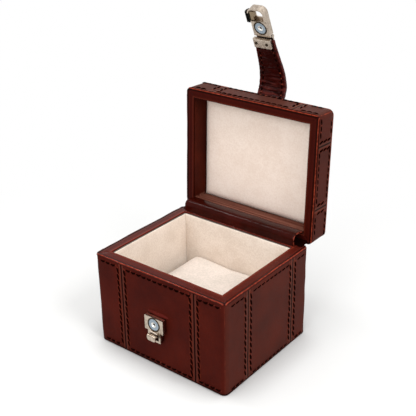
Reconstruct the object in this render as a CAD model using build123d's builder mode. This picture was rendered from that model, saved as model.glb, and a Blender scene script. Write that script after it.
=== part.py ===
from build123d import *
import math
import os

# Leather display box for a pocket watch, lid open, strap and hasp standing up.
# Millimetres. +Z is up, +Y is towards the hinge, the lock is on the -Y face, and the
# origin is the middle of the face that the box stands on.

os.makedirs("parts", exist_ok=True)

# ---------------------------------------------------------------- driving dimensions

# base
base_width = 110.0
base_depth = 94.0
base_height = 69.0
corner_radius = 4.0
leather = 1.3              # thickness of every leather skin
wall_board = 7.2
floor_board = 6.0
lining = 1.0
lining_drop = 1.4          # top of the suede lining below the rim
front_seam_x = 30.8        # seams of the front and back, each side of the middle
side_seam_front_y = -23.0
side_seam_back_y = 27.6
edge_round = 0.9           # rounding of the outer edges of the rims and the bottom

# cushion inside the base
cushion_width = 70.0
cushion_end_air = 0.8      # between the cushion's ends and the suede
cushion_depth = base_depth - 2 * (leather + wall_board + lining + cushion_end_air)
cushion_top_z = 37.2
cushion_thickness = 11.0
cushion_corner = 7.0
cushion_edge_round = 3.5
plinth_inset = 1.0

# lid
lid_height = 19.0
lid_setback = 2.0          # the lid's back face stands this far inside the base's
lid_gap = 0.4              # air between the two rims when closed
lid_board = 4.5
lid_top_board = 2.5
inner_band = 1.2
lid_pad_thickness = 2.6
lid_pad_air = 0.2          # left all round the pad
lid_pad_corner = 2.0
lid_pad_edge_round = 1.2
lid_seam_x = 33.0
lid_seam_front = 22.0      # seam of a lid side, from the lid's front edge
lid_seam_back = 25.2       # and from its back edge
lid_open_angle = 92.2

# hinge
hinge_end_margin = 3.0     # the barrel ends this far inside the box's sides
hinge_length = base_width - 2 * hinge_end_margin
hinge_pin_radius = 0.9
knuckle_radius = 2.2
hinge_leaf = 0.8
hinge_leaf_height = 12.0
hinge_leaf_inset = 2.4     # leaf ends inside the barrel's ends
pin_inset = 0.6            # pin axis inside the base's back face
pin_drop = 3.0             # pin axis below the base's rim
knuckle_count = 5
knuckle_clearance = 0.2
barrel_room_side = 0.3     # air left round the barrel in the base
barrel_room_front = 1.8
barrel_room_below = 0.4
running_clearance = 0.06
hinge_screw_radius = 1.0
hinge_screw_length = 3.2
hinge_screw_pitch = 24.0

# leather roll that hides the hinge from inside
roll_end_margin = 7.5      # the roll ends this far inside the box's sides
roll_length = base_width - 2 * roll_end_margin
roll_leather = 1.2
roll_air = 0.3
roll_rise = 8.4            # middle of the roll's leather above the base's rim
roll_bend = 6.0
roll_reach = 2.7           # end of the roll inside the lid's rim

# lock on the front
lock_ring_z = 35.2
lock_top = 5.2             # plate above the ring's centre
lock_shoulder = 5.2        # shoulders below it
lock_tail = 12.8           # tail's lower end below it
lock_half_width = 7.8
tail_half_width = 5.3
lock_block = 3.0
lock_plate = 1.2
ring_radius = 4.3
ring_hole_radius = 1.9
ring_air = 0.5
ring_thickness = 1.3
ring_rivet_head_radius = 1.7
ring_rivet_head = 0.35
ring_round = 0.35
ring_rivet_bore_radius = 0.8
tongue_width = 7.2
tongue_stem_width = 2.6
tongue_stem = 1.1          # narrow part next to the plate
tongue_reach = 3.2         # in front of the plate
tongue_sheet = 1.0
tongue_lip = 3.8           # height of the bent-down lip
tongue_corner = 1.7
tongue_round = 0.8
tongue_top = 7.0           # top of the tongue below the ring's centre
tongue_bead_radius = 0.6
tongue_bead_x = 1.9
slot_half_width = 3.9
slot_height = 4.4
slot_lip_half_width = 2.9  # bent lip over the slot
slot_lip = 0.7

# hasp
hasp_ring_s = 6.4          # ring's centre above the hasp's hinge end
hasp_half_width = 6.5
hasp_thickness = 4.0
hasp_heel = 1.1            # lower edge of the hasp's block
hasp_lip = 1.2             # face sheet that runs down past the heel
hasp_block_end = 11.3
hood_end = 22.0
hood_corner = 4.0
hood_wall = 0.8
hood_floor = 0.9
hood_rise = 1.5            # how far the hood stands in front of the block's face
hood_slant = 1.4
hood_end_wall = 0.9
hood_groove_low = 20.3     # dark groove between the floor and the end wall
hood_groove_depth = 0.6
window_left = -3.3
window_right = 2.4
window_low = 13.3
window_high = 17.5
hasp_contact_gap = 0.3
hasp_pin_radius = 0.6
hasp_knuckle_radius = 1.3
hasp_knuckle_half = 3.3
hasp_pin_s = -0.5

# catch that slides in the hood
catch_sheet = 1.0
catch_air = 0.15
catch_grip = 1.2           # how far the finger reaches behind the tongue's lip
catch_slide_width = 6.6    # along the hasp, of the part that runs in the hood's side
button_out = 3.0
button_gap = 0.3           # between the hood's side and the button
button_low = 9.7
button_high = 18.3
button_front_drop = 0.3    # button's face behind the block's face
button_corner = 0.8
button_rib_count = 3
button_rib_gap = 0.5
button_rib_depth = 1.0

# clamp and strap
clamp_half_width = 6.7
clamp_low = -7.8
clamp_high = -0.9
clamp_thickness = 3.0
clamp_back = 1.0
clamp_rivet_radius = 1.0
clamp_rivet_x = 4.3
clamp_rivet_head = 0.4
rivet_shift = 0.4          # rivets above the clamp's middle
clamp_bevel = 0.5
strap_thickness = 2.2
strap_end_width = 16.2
strap_root_width = 22.0
strap_end_s = -1.9
strap_lead = 1.0           # straight leather below the clamp
strap_tail_corner = 8.0
strap_rise_from = 18.0     # where the strap leaves the lid, behind the lid's front edge
strap_tail_length = 26.0
strap_crest_reach = 4.2    # crest of its bow, in front of the lid's front edge
strap_crest_lift = 8.4     # and above the lid's top
strap_fold_angle = 64.0
fold_axis_back = 10.1      # fold axis behind the lid's front edge
fold_axis_lift = 2.95      # and above the lid's top

# ---------------------------------------------------------------- worked-out places

half_width = base_width / 2
half_depth = base_depth / 2
rim_bottom_z = base_height - leather
lining_outer_x = half_width - leather - wall_board
lining_outer_y = half_depth - leather - wall_board
lining_inner_x = lining_outer_x - lining
lining_inner_y = lining_outer_y - lining
lining_top_z = base_height - lining_drop
floor_top_z = leather + floor_board
cushion_floor_z = floor_top_z + lining

lid_length = base_depth - lid_setback
lid_back_y = half_depth - lid_setback
lid_rim_z = base_height + lid_gap
pin_y = half_depth - pin_inset
pin_z = base_height - pin_drop
lid_wall = leather + lid_board + inner_band
lid_board_top = lid_height - leather - lid_top_board
lid_pad_face = lid_board_top - lid_pad_thickness


def turn(y, z, about_y, about_z, degrees):
    """The point (y, z) turned about an axis along +X."""
    cosine = math.cos(math.radians(degrees))
    sine = math.sin(math.radians(degrees))
    out = y - about_y
    up = z - about_z
    return about_y + out * cosine - up * sine, about_z + out * sine + up * cosine


def opened(y, z):
    """Where a point of the closed lid stands when the lid is open."""
    return turn(y, z, pin_y, pin_z, -lid_open_angle)


# The lid's own plane: x runs to -X, y from its back edge to its front, z to its top.
lid_along = turn(-1, 0, 0, 0, -lid_open_angle)
lid_up = turn(0, 1, 0, 0, -lid_open_angle)
lid_origin = opened(lid_back_y, lid_rim_z)
lid_plane = Plane(origin=(0, *lid_origin), x_dir=(-1, 0, 0), z_dir=(0, *lid_up))
# The same, seen from the side: x along the lid, y to its top.
lid_side_plane = Plane(origin=(0, *lid_origin), x_dir=(0, *lid_along), z_dir=(-1, 0, 0))

# Closed, the hasp hangs on the lock. Its own plane is its inner face: x to +X, y to
# its tip, z to the box. Unfolding the strap and opening the lid brings it to rest.
plate_front_y = -half_depth - lock_block - lock_plate
fold_axis_y = lid_back_y - lid_length + fold_axis_back
fold_axis_z = lid_rim_z + lid_height + fold_axis_lift
hasp_closed_y = plate_front_y - hasp_contact_gap
hasp_closed_z = lock_ring_z + hasp_ring_s
hasp_turn = -strap_fold_angle - lid_open_angle
hasp_unfolded = turn(
    hasp_closed_y, hasp_closed_z, fold_axis_y, fold_axis_z, -strap_fold_angle
)
hasp_origin = opened(*hasp_unfolded)
hasp_inward = turn(1, 0, 0, 0, hasp_turn)
hasp_tipward = turn(0, -1, 0, 0, hasp_turn)
hasp_plane = Plane(origin=(0, *hasp_origin), x_dir=(1, 0, 0), z_dir=(0, *hasp_inward))
hasp_side_plane = Plane(origin=(0, *hasp_origin), x_dir=(0, *hasp_tipward), z_dir=(1, 0, 0))
fold_axis_rest = opened(fold_axis_y, fold_axis_z)
hasp_pin_n = -hasp_thickness + hasp_knuckle_radius


def slab(label, low, high):
    """A plain board or sheet between two corner points."""
    with BuildPart() as board:
        with BuildSketch(Plane.XY.offset(low[2])):
            with Locations(((low[0] + high[0]) / 2, (low[1] + high[1]) / 2)):
                Rectangle(high[0] - low[0], high[1] - low[1])
        extrude(amount=high[2] - low[2])
    board.part.label = label
    export_step(board.part, "parts/" + label + ".step")


# ---------------------------------------------------------------- base: boards

side_board_y = lining_outer_y
board_low_z = leather
board_half_x = half_width - leather
board_half_y = half_depth - leather

# The back board and the rim are cut away for the hinge barrel.
notch_half_x = hinge_length / 2 + barrel_room_side
notch_front_y = pin_y - knuckle_radius - barrel_room_front
notch_low_z = pin_z - knuckle_radius - barrel_room_below
leaf_recess_low_z = notch_low_z - hinge_leaf_height


with BuildPart() as hinge_notch:
    with BuildSketch(Plane.XY.offset(notch_low_z)):
        with Locations((0, (notch_front_y + base_depth) / 2)):
            Rectangle(2 * notch_half_x, base_depth - notch_front_y)
    extrude(amount=base_height)


with BuildPart() as base_front_board:
    with BuildSketch(Plane.XY.offset(board_low_z)):
        with Locations((0, -(board_half_y + side_board_y) / 2)):
            Rectangle(2 * board_half_x, wall_board)
    extrude(amount=rim_bottom_z - board_low_z)
    front_corners = base_front_board.edges().filter_by(Axis.Z).group_by(Axis.Y)[0]
    fillet(front_corners, radius=corner_radius - leather)
base_front_board.part.label = "base_front_board"
export_step(base_front_board.part, "parts/base_front_board.step")

with BuildPart() as base_back_board:
    with BuildSketch(Plane.XY.offset(board_low_z)):
        with Locations((0, (board_half_y + side_board_y) / 2)):
            Rectangle(2 * board_half_x, wall_board)
    extrude(amount=rim_bottom_z - board_low_z)
    back_corners = base_back_board.edges().filter_by(Axis.Z).group_by(Axis.Y)[-1]
    fillet(back_corners, radius=corner_radius - leather)
    with BuildSketch(Plane.XY.offset(leaf_recess_low_z)):
        with Locations((0, board_half_y - hinge_leaf / 2)):
            Rectangle(hinge_length - 2 * hinge_leaf_inset, hinge_leaf)
    extrude(amount=hinge_leaf_height, mode=Mode.SUBTRACT)
    add(hinge_notch.part, mode=Mode.SUBTRACT)
    base_screw_z = notch_low_z - hinge_leaf_height / 2
    with BuildSketch(Plane.XZ.offset(-board_half_y + hinge_leaf)):
        with Locations((0, base_screw_z)):
            with GridLocations(hinge_screw_pitch, 1, 4, 1):
                Circle(hinge_screw_radius)
    extrude(amount=hinge_screw_length - hinge_leaf, mode=Mode.SUBTRACT)
base_back_board.part.label = "base_back_board"
export_step(base_back_board.part, "parts/base_back_board.step")

for side, sign in (("left", -1), ("right", 1)):
    outer = sign * board_half_x
    inner = sign * lining_outer_x
    slab(
        "base_" + side + "_board",
        (min(outer, inner), -side_board_y, board_low_z),
        (max(outer, inner), side_board_y, rim_bottom_z),
    )

slab(
    "base_floor_board",
    (-lining_outer_x, -lining_outer_y, leather),
    (lining_outer_x, lining_outer_y, floor_top_z),
)

# ---------------------------------------------------------------- base: leather

# The skin round the base is four panels between the seams and four corner wraps.


def base_skin(label, middle_x, middle_y, size_x, size_y):
    """The part of the base's leather skin that lies inside one upright box."""
    with BuildPart() as skin:
        with BuildSketch(Plane.XY.offset(leather)):
            RectangleRounded(base_width, base_depth, corner_radius)
            RectangleRounded(
                2 * board_half_x, 2 * board_half_y, corner_radius - leather, mode=Mode.SUBTRACT
            )
            with Locations((middle_x, middle_y)):
                Rectangle(size_x, size_y, mode=Mode.INTERSECT)
        extrude(amount=rim_bottom_z - leather)
        if middle_y > 0:
            add(hinge_notch.part, mode=Mode.SUBTRACT)
    skin.part.label = label
    export_step(skin.part, "parts/" + label + ".step")


panel_depth = 2 * wall_board
side_panel_y = (side_seam_front_y + side_seam_back_y) / 2
side_panel_size = side_seam_back_y - side_seam_front_y
base_skin("base_front_panel", 0, -half_depth, 2 * front_seam_x, panel_depth)
base_skin("base_back_panel", 0, half_depth, 2 * front_seam_x, panel_depth)
with BuildPart() as base_left_panel:
    with BuildSketch(Plane.XY.offset(leather)):
        with Locations((-half_width + leather / 2, side_panel_y)):
            Rectangle(leather, side_panel_size)
    extrude(amount=rim_bottom_z - leather)
base_left_panel.part.label = "base_left_panel"
export_step(base_left_panel.part, "parts/base_left_panel.step")
with BuildPart() as base_right_panel:
    with BuildSketch(Plane.XY.offset(leather)):
        with Locations((half_width - leather / 2, side_panel_y)):
            Rectangle(leather, side_panel_size)
    extrude(amount=rim_bottom_z - leather)
base_right_panel.part.label = "base_right_panel"
export_step(base_right_panel.part, "parts/base_right_panel.step")

for side, sign in (("left", -1), ("right", 1)):
    wrap_x = sign * (half_width + front_seam_x) / 2
    front_wrap_y = -(half_depth - side_seam_front_y) / 2
    back_wrap_y = (half_depth + side_seam_back_y) / 2
    base_skin(
        "base_front_" + side + "_wrap",
        wrap_x,
        front_wrap_y,
        half_width - front_seam_x,
        half_depth + side_seam_front_y,
    )
    base_skin(
        "base_back_" + side + "_wrap",
        wrap_x,
        back_wrap_y,
        half_width - front_seam_x,
        half_depth - side_seam_back_y,
    )

with BuildPart() as base_bottom_leather:
    with BuildSketch():
        RectangleRounded(base_width, base_depth, corner_radius)
    extrude(amount=leather)
    fillet(base_bottom_leather.edges().group_by(Axis.Z)[0], radius=edge_round)
base_bottom_leather.part.label = "base_bottom_leather"
export_step(base_bottom_leather.part, "parts/base_bottom_leather.step")

with BuildPart() as base_rim_leather:
    with BuildSketch(Plane.XY.offset(rim_bottom_z)):
        RectangleRounded(base_width, base_depth, corner_radius)
        Rectangle(2 * lining_outer_x, 2 * lining_outer_y, mode=Mode.SUBTRACT)
    extrude(amount=leather)
    rim_top = base_rim_leather.faces().sort_by(Axis.Z)[-1]
    fillet(rim_top.outer_wire().edges(), radius=edge_round)
    add(hinge_notch.part, mode=Mode.SUBTRACT)
base_rim_leather.part.label = "base_rim_leather"
export_step(base_rim_leather.part, "parts/base_rim_leather.step")

# ---------------------------------------------------------------- base: lining, cushion

slab(
    "base_floor_lining",
    (-lining_outer_x, -lining_outer_y, floor_top_z),
    (lining_outer_x, lining_outer_y, cushion_floor_z),
)
for side, sign in (("front", -1), ("back", 1)):
    outer = sign * lining_outer_y
    inner = sign * lining_inner_y
    slab(
        "base_" + side + "_lining",
        (-lining_outer_x, min(outer, inner), cushion_floor_z),
        (lining_outer_x, max(outer, inner), lining_top_z),
    )
for side, sign in (("left", -1), ("right", 1)):
    outer = sign * lining_outer_x
    inner = sign * lining_inner_x
    slab(
        "base_" + side + "_lining",
        (min(outer, inner), -lining_inner_y, cushion_floor_z),
        (max(outer, inner), lining_inner_y, lining_top_z),
    )

cushion_low_z = cushion_top_z - cushion_thickness
with BuildPart() as cushion_plinth:
    with BuildSketch(Plane.XY.offset(cushion_floor_z)):
        RectangleRounded(
            cushion_width - 2 * plinth_inset,
            cushion_depth - 2 * plinth_inset,
            cushion_corner - plinth_inset,
        )
    extrude(amount=cushion_low_z - cushion_floor_z)
cushion_plinth.part.label = "cushion_plinth"
export_step(cushion_plinth.part, "parts/cushion_plinth.step")

with BuildPart() as watch_cushion:
    with BuildSketch(Plane.XY.offset(cushion_low_z)):
        RectangleRounded(cushion_width, cushion_depth, cushion_corner)
    extrude(amount=cushion_thickness)
    fillet(watch_cushion.edges().group_by(Axis.Z)[-1], radius=cushion_edge_round)
watch_cushion.part.label = "watch_cushion"
export_step(watch_cushion.part, "parts/watch_cushion.step")

# ---------------------------------------------------------------- lid: boards

lid_board_half_x = half_width - leather
lid_front_board_low = lid_length - leather - lid_board
lid_inner_half_x = half_width - leather - lid_board
lid_leaf_height = hinge_leaf_height - 2
lid_screw_up = leather + lid_leaf_height / 2


def lid_slab(label, x_half, x_middle, low, high, bottom, top):
    """A plain board of the lid, placed in the lid's own plane."""
    with BuildPart() as board:
        with BuildSketch(lid_plane.offset(bottom)):
            with Locations((x_middle, (low + high) / 2)):
                Rectangle(2 * x_half, high - low)
        extrude(amount=top - bottom)
    board.part.label = label
    export_step(board.part, "parts/" + label + ".step")


with BuildPart() as lid_front_board_part:
    with BuildSketch(lid_plane.offset(leather)):
        with Locations((0, (lid_length - leather + lid_front_board_low) / 2)):
            Rectangle(2 * lid_board_half_x, lid_board)
    extrude(amount=lid_board_top - leather)
    upright = lid_front_board_part.edges().filter_by(Axis((0, 0, 0), lid_plane.z_dir))
    outer_pair = upright.sort_by(Axis((0, 0, 0), lid_plane.y_dir))[-2:]
    fillet(outer_pair, radius=corner_radius - leather)
lid_front_board_part.part.label = "lid_front_board"
export_step(lid_front_board_part.part, "parts/lid_front_board.step")

with BuildPart() as lid_back_board_part:
    with BuildSketch(lid_plane.offset(leather)):
        with Locations((0, leather + lid_board / 2)):
            Rectangle(2 * lid_board_half_x, lid_board)
    extrude(amount=lid_board_top - leather)
    upright = lid_back_board_part.edges().filter_by(Axis((0, 0, 0), lid_plane.z_dir))
    outer_pair = upright.sort_by(Axis((0, 0, 0), lid_plane.y_dir))[:2]
    fillet(outer_pair, radius=corner_radius - leather)
    with BuildSketch(lid_plane.offset(leather)):
        with Locations((0, leather + hinge_leaf / 2)):
            Rectangle(hinge_length - 2 * hinge_leaf_inset, hinge_leaf)
    extrude(amount=lid_leaf_height, mode=Mode.SUBTRACT)
    with BuildSketch(
        Plane(lid_plane.from_local_coords((0, leather + hinge_leaf, 0)), (-1, 0, 0), lid_plane.y_dir)
    ):
        with Locations((0, -lid_screw_up)):
            with GridLocations(hinge_screw_pitch, 1, 4, 1):
                Circle(hinge_screw_radius)
    extrude(amount=hinge_screw_length - hinge_leaf, mode=Mode.SUBTRACT)
lid_back_board_part.part.label = "lid_back_board"
export_step(lid_back_board_part.part, "parts/lid_back_board.step")

for side, sign in (("left", 1), ("right", -1)):
    lid_slab(
        "lid_" + side + "_board",
        lid_board / 2,
        sign * (lid_board_half_x - lid_board / 2),
        leather + lid_board,
        lid_front_board_low,
        leather,
        lid_board_top,
    )

with BuildPart() as lid_top_board_part:
    with BuildSketch(lid_plane.offset(lid_board_top)):
        with Locations((0, lid_length / 2)):
            RectangleRounded(
                2 * lid_board_half_x, lid_length - 2 * leather, corner_radius - leather
            )
    extrude(amount=lid_top_board)
lid_top_board_part.part.label = "lid_top_board"
export_step(lid_top_board_part.part, "parts/lid_top_board.step")

# ---------------------------------------------------------------- lid: leather, pad


def lid_skin(label, x_low, x_high, along_low, along_high):
    """The part of the lid's side leather that lies inside one upright box."""
    with BuildPart() as skin:
        with BuildSketch(lid_plane.offset(leather)):
            with Locations((0, lid_length / 2)):
                RectangleRounded(base_width, lid_length, corner_radius)
                RectangleRounded(
                    2 * lid_board_half_x,
                    lid_length - 2 * leather,
                    corner_radius - leather,
                    mode=Mode.SUBTRACT,
                )
            with Locations(((x_low + x_high) / 2, (along_low + along_high) / 2)):
                Rectangle(x_high - x_low, along_high - along_low, mode=Mode.INTERSECT)
        extrude(amount=lid_height - 2 * leather)
    skin.part.label = label
    export_step(skin.part, "parts/" + label + ".step")


lid_side_seam_front = lid_length - lid_seam_front
skin_reach = 2 * lid_board
lid_skin("lid_front_panel", -lid_seam_x, lid_seam_x, lid_length - skin_reach, lid_length)
lid_skin("lid_back_panel", -lid_seam_x, lid_seam_x, 0, skin_reach)
for side, sign in (("left", 1), ("right", -1)):
    inner_x = sign * (half_width - skin_reach)
    outer_x = sign * half_width
    seam_x = sign * lid_seam_x
    lid_skin(
        "lid_" + side + "_panel",
        min(inner_x, outer_x),
        max(inner_x, outer_x),
        lid_seam_back,
        lid_side_seam_front,
    )
    lid_skin(
        "lid_front_" + side + "_wrap",
        min(seam_x, outer_x),
        max(seam_x, outer_x),
        lid_side_seam_front,
        lid_length,
    )
    lid_skin(
        "lid_back_" + side + "_wrap",
        min(seam_x, outer_x),
        max(seam_x, outer_x),
        0,
        lid_seam_back,
    )

with BuildPart() as lid_top_leather:
    with BuildSketch(lid_plane.offset(lid_height - leather)):
        with Locations((0, lid_length / 2)):
            RectangleRounded(base_width, lid_length, corner_radius)
    extrude(amount=leather)
    lid_up_axis = Axis((0, 0, 0), lid_plane.z_dir)
    fillet(lid_top_leather.faces().sort_by(lid_up_axis)[-1].edges(), radius=edge_round)
lid_top_leather.part.label = "lid_top_leather"
export_step(lid_top_leather.part, "parts/lid_top_leather.step")

with BuildPart() as lid_rim_leather:
    with BuildSketch(lid_plane):
        with Locations((0, lid_length / 2)):
            RectangleRounded(base_width, lid_length, corner_radius)
            Rectangle(base_width - 2 * lid_wall, lid_length - 2 * lid_wall, mode=Mode.SUBTRACT)
    extrude(amount=leather)
    lid_rim_face = lid_rim_leather.faces().sort_by(Axis((0, 0, 0), lid_plane.z_dir))[0]
    fillet(lid_rim_face.outer_wire().edges(), radius=edge_round)
    with BuildSketch(lid_plane):
        with Locations((0, leather + hinge_leaf / 2)):
            Rectangle(hinge_length - 2 * hinge_leaf_inset, hinge_leaf)
    extrude(amount=leather, mode=Mode.SUBTRACT)
lid_rim_leather.part.label = "lid_rim_leather"
export_step(lid_rim_leather.part, "parts/lid_rim_leather.step")

with BuildPart() as lid_inner_band:
    with BuildSketch(lid_plane.offset(leather)):
        with Locations((0, lid_length / 2)):
            Rectangle(2 * lid_inner_half_x, lid_length - 2 * leather - 2 * lid_board)
            Rectangle(base_width - 2 * lid_wall, lid_length - 2 * lid_wall, mode=Mode.SUBTRACT)
    extrude(amount=lid_board_top - leather)
lid_inner_band.part.label = "lid_inner_band"
export_step(lid_inner_band.part, "parts/lid_inner_band.step")

with BuildPart() as lid_pad:
    with BuildSketch(lid_plane.offset(lid_pad_face)):
        with Locations((0, lid_length / 2)):
            RectangleRounded(
                base_width - 2 * lid_wall - 2 * lid_pad_air,
                lid_length - 2 * lid_wall - 2 * lid_pad_air,
                lid_pad_corner,
            )
    extrude(amount=lid_pad_thickness)
    pad_face = lid_pad.faces().sort_by(Axis((0, 0, 0), lid_plane.z_dir))[0]
    fillet(pad_face.outer_wire().edges(), radius=lid_pad_edge_round)
lid_pad.part.label = "lid_pad"
export_step(lid_pad.part, "parts/lid_pad.step")

# ---------------------------------------------------------------- hinge

# Odd knuckles belong to the base leaf, even ones to the lid leaf, on one pin.

knuckle_pitch = hinge_length / knuckle_count
base_knuckles = [-hinge_length / 2 + (i + 0.5) * knuckle_pitch for i in range(0, knuckle_count, 2)]
lid_knuckles = [-hinge_length / 2 + (i + 0.5) * knuckle_pitch for i in range(1, knuckle_count, 2)]
knuckle_length = knuckle_pitch - knuckle_clearance
pin_axis_plane = Plane(origin=(0, pin_y, pin_z), x_dir=(0, 1, 0), z_dir=(1, 0, 0))

with BuildPart() as hinge_base_leaf:
    with BuildSketch(Plane.XY.offset(leaf_recess_low_z)):
        with Locations((0, board_half_y - hinge_leaf / 2)):
            Rectangle(hinge_length - 2 * hinge_leaf_inset, hinge_leaf)
    extrude(amount=hinge_leaf_height)
    for x in base_knuckles:
        with BuildSketch(Plane.XY.offset(notch_low_z)):
            with Locations((x, board_half_y - hinge_leaf / 2)):
                Rectangle(knuckle_length, hinge_leaf)
        extrude(amount=pin_z - notch_low_z)
        with BuildSketch(pin_axis_plane.offset(x - knuckle_length / 2)):
            Circle(knuckle_radius)
        extrude(amount=knuckle_length)
    with BuildSketch(pin_axis_plane.offset(-hinge_length)):
        Circle(hinge_pin_radius)
    extrude(amount=2 * hinge_length, mode=Mode.SUBTRACT)
    with BuildSketch(Plane.XZ.offset(-board_half_y)):
        with Locations((0, base_screw_z)):
            with GridLocations(hinge_screw_pitch, 1, 4, 1):
                Circle(hinge_screw_radius)
    extrude(amount=hinge_leaf, mode=Mode.SUBTRACT)
hinge_base_leaf.part.label = "hinge_base_leaf"
export_step(hinge_base_leaf.part, "parts/hinge_base_leaf.step")

# The lid leaf runs down past the lid's rim and turns out to the pin. Seen from the
# side in the lid's own plane, the pin lies below the rim and behind the back edge.
pin_along = lid_back_y - pin_y
pin_up = pin_z - lid_rim_z
with BuildPart() as hinge_lid_leaf:
    with BuildSketch(lid_plane.offset(0)):
        with Locations((0, leather + hinge_leaf / 2)):
            Rectangle(hinge_length - 2 * hinge_leaf_inset, hinge_leaf)
    extrude(amount=leather + lid_leaf_height)
    for x in lid_knuckles:
        with BuildSketch(lid_side_plane.offset(-x - knuckle_length / 2)):
            with Locations((leather + hinge_leaf / 2, pin_up / 2)):
                Rectangle(hinge_leaf, -pin_up)
            with Locations(((pin_along + leather + hinge_leaf) / 2, pin_up + hinge_leaf / 2)):
                Rectangle(leather + hinge_leaf - pin_along, hinge_leaf)
            with Locations((pin_along, pin_up)):
                Circle(knuckle_radius)
        extrude(amount=knuckle_length)
    with BuildSketch(pin_axis_plane.offset(-hinge_length)):
        Circle(hinge_pin_radius + running_clearance)
    extrude(amount=2 * hinge_length, mode=Mode.SUBTRACT)
    with BuildSketch(
        Plane(lid_plane.from_local_coords((0, leather, 0)), (-1, 0, 0), lid_plane.y_dir)
    ):
        with Locations((0, -lid_screw_up)):
            with GridLocations(hinge_screw_pitch, 1, 4, 1):
                Circle(hinge_screw_radius)
    extrude(amount=hinge_leaf, mode=Mode.SUBTRACT)
hinge_lid_leaf.part.label = "hinge_lid_leaf"
export_step(hinge_lid_leaf.part, "parts/hinge_lid_leaf.step")

with BuildPart() as hinge_pin:
    with BuildSketch(pin_axis_plane.offset(-hinge_length / 2)):
        Circle(hinge_pin_radius)
    extrude(amount=hinge_length)
hinge_pin.part.label = "hinge_pin"
export_step(hinge_pin.part, "parts/hinge_pin.step")

with BuildPart() as hinge_base_screws:
    with BuildSketch(Plane.XZ.offset(-board_half_y)):
        with Locations((0, base_screw_z)):
            with GridLocations(hinge_screw_pitch, 1, 4, 1):
                Circle(hinge_screw_radius)
    extrude(amount=hinge_screw_length)
hinge_base_screws.part.label = "hinge_base_screws"
export_step(hinge_base_screws.part, "parts/hinge_base_screws.step")

with BuildPart() as hinge_lid_screws:
    with BuildSketch(
        Plane(lid_plane.from_local_coords((0, leather, 0)), (-1, 0, 0), lid_plane.y_dir)
    ):
        with Locations((0, -lid_screw_up)):
            with GridLocations(hinge_screw_pitch, 1, 4, 1):
                Circle(hinge_screw_radius)
    extrude(amount=hinge_screw_length)
hinge_lid_screws.part.label = "hinge_lid_screws"
export_step(hinge_lid_screws.part, "parts/hinge_lid_screws.step")

# The leather roll arches from the base's rim over the barrel into the lid.
roll_start_y = lining_outer_y + roll_leather / 2
roll_top_z = base_height + roll_rise
roll_end = lid_plane.from_local_coords((0, lid_wall + roll_air + roll_leather / 2, roll_reach))
with BuildPart() as hinge_roll:
    with BuildSketch(Plane.YZ.offset(-roll_length / 2)):
        with BuildLine():
            FilletPolyline(
                (roll_start_y, base_height + roll_air),
                (roll_start_y, roll_top_z),
                (pin_y + hinge_pin_radius, roll_top_z),
                (roll_end.Y, roll_end.Z),
                radius=roll_bend,
            )
        trace(line_width=roll_leather)
    extrude(amount=roll_length)
hinge_roll.part.label = "hinge_roll"
export_step(hinge_roll.part, "parts/hinge_roll.step")

# ---------------------------------------------------------------- lock

lock_top_z = lock_ring_z + lock_top
lock_shoulder_z = lock_ring_z - lock_shoulder
lock_tail_z = lock_ring_z - lock_tail
tongue_top_z = lock_ring_z - tongue_top
front_plane = Plane.XZ.offset(half_depth)
plate_back_plane = Plane.XZ.offset(half_depth + lock_block)

# Broad head with square shoulders and a narrow tail.
lock_outline = (
    (-lock_half_width, lock_top_z),
    (lock_half_width, lock_top_z),
    (lock_half_width, lock_shoulder_z),
    (tail_half_width, lock_shoulder_z),
    (tail_half_width, lock_tail_z),
    (-tail_half_width, lock_tail_z),
    (-tail_half_width, lock_shoulder_z),
    (-lock_half_width, lock_shoulder_z),
)

with BuildPart() as lock_block_part:
    with BuildSketch(front_plane):
        with BuildLine():
            Polyline(*lock_outline, close=True)
        make_face()
        with Locations((0, lock_ring_z)):
            Circle(ring_rivet_bore_radius, mode=Mode.SUBTRACT)
    extrude(amount=lock_block)
lock_block_part.part.label = "lock_block"
export_step(lock_block_part.part, "parts/lock_block.step")

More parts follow.
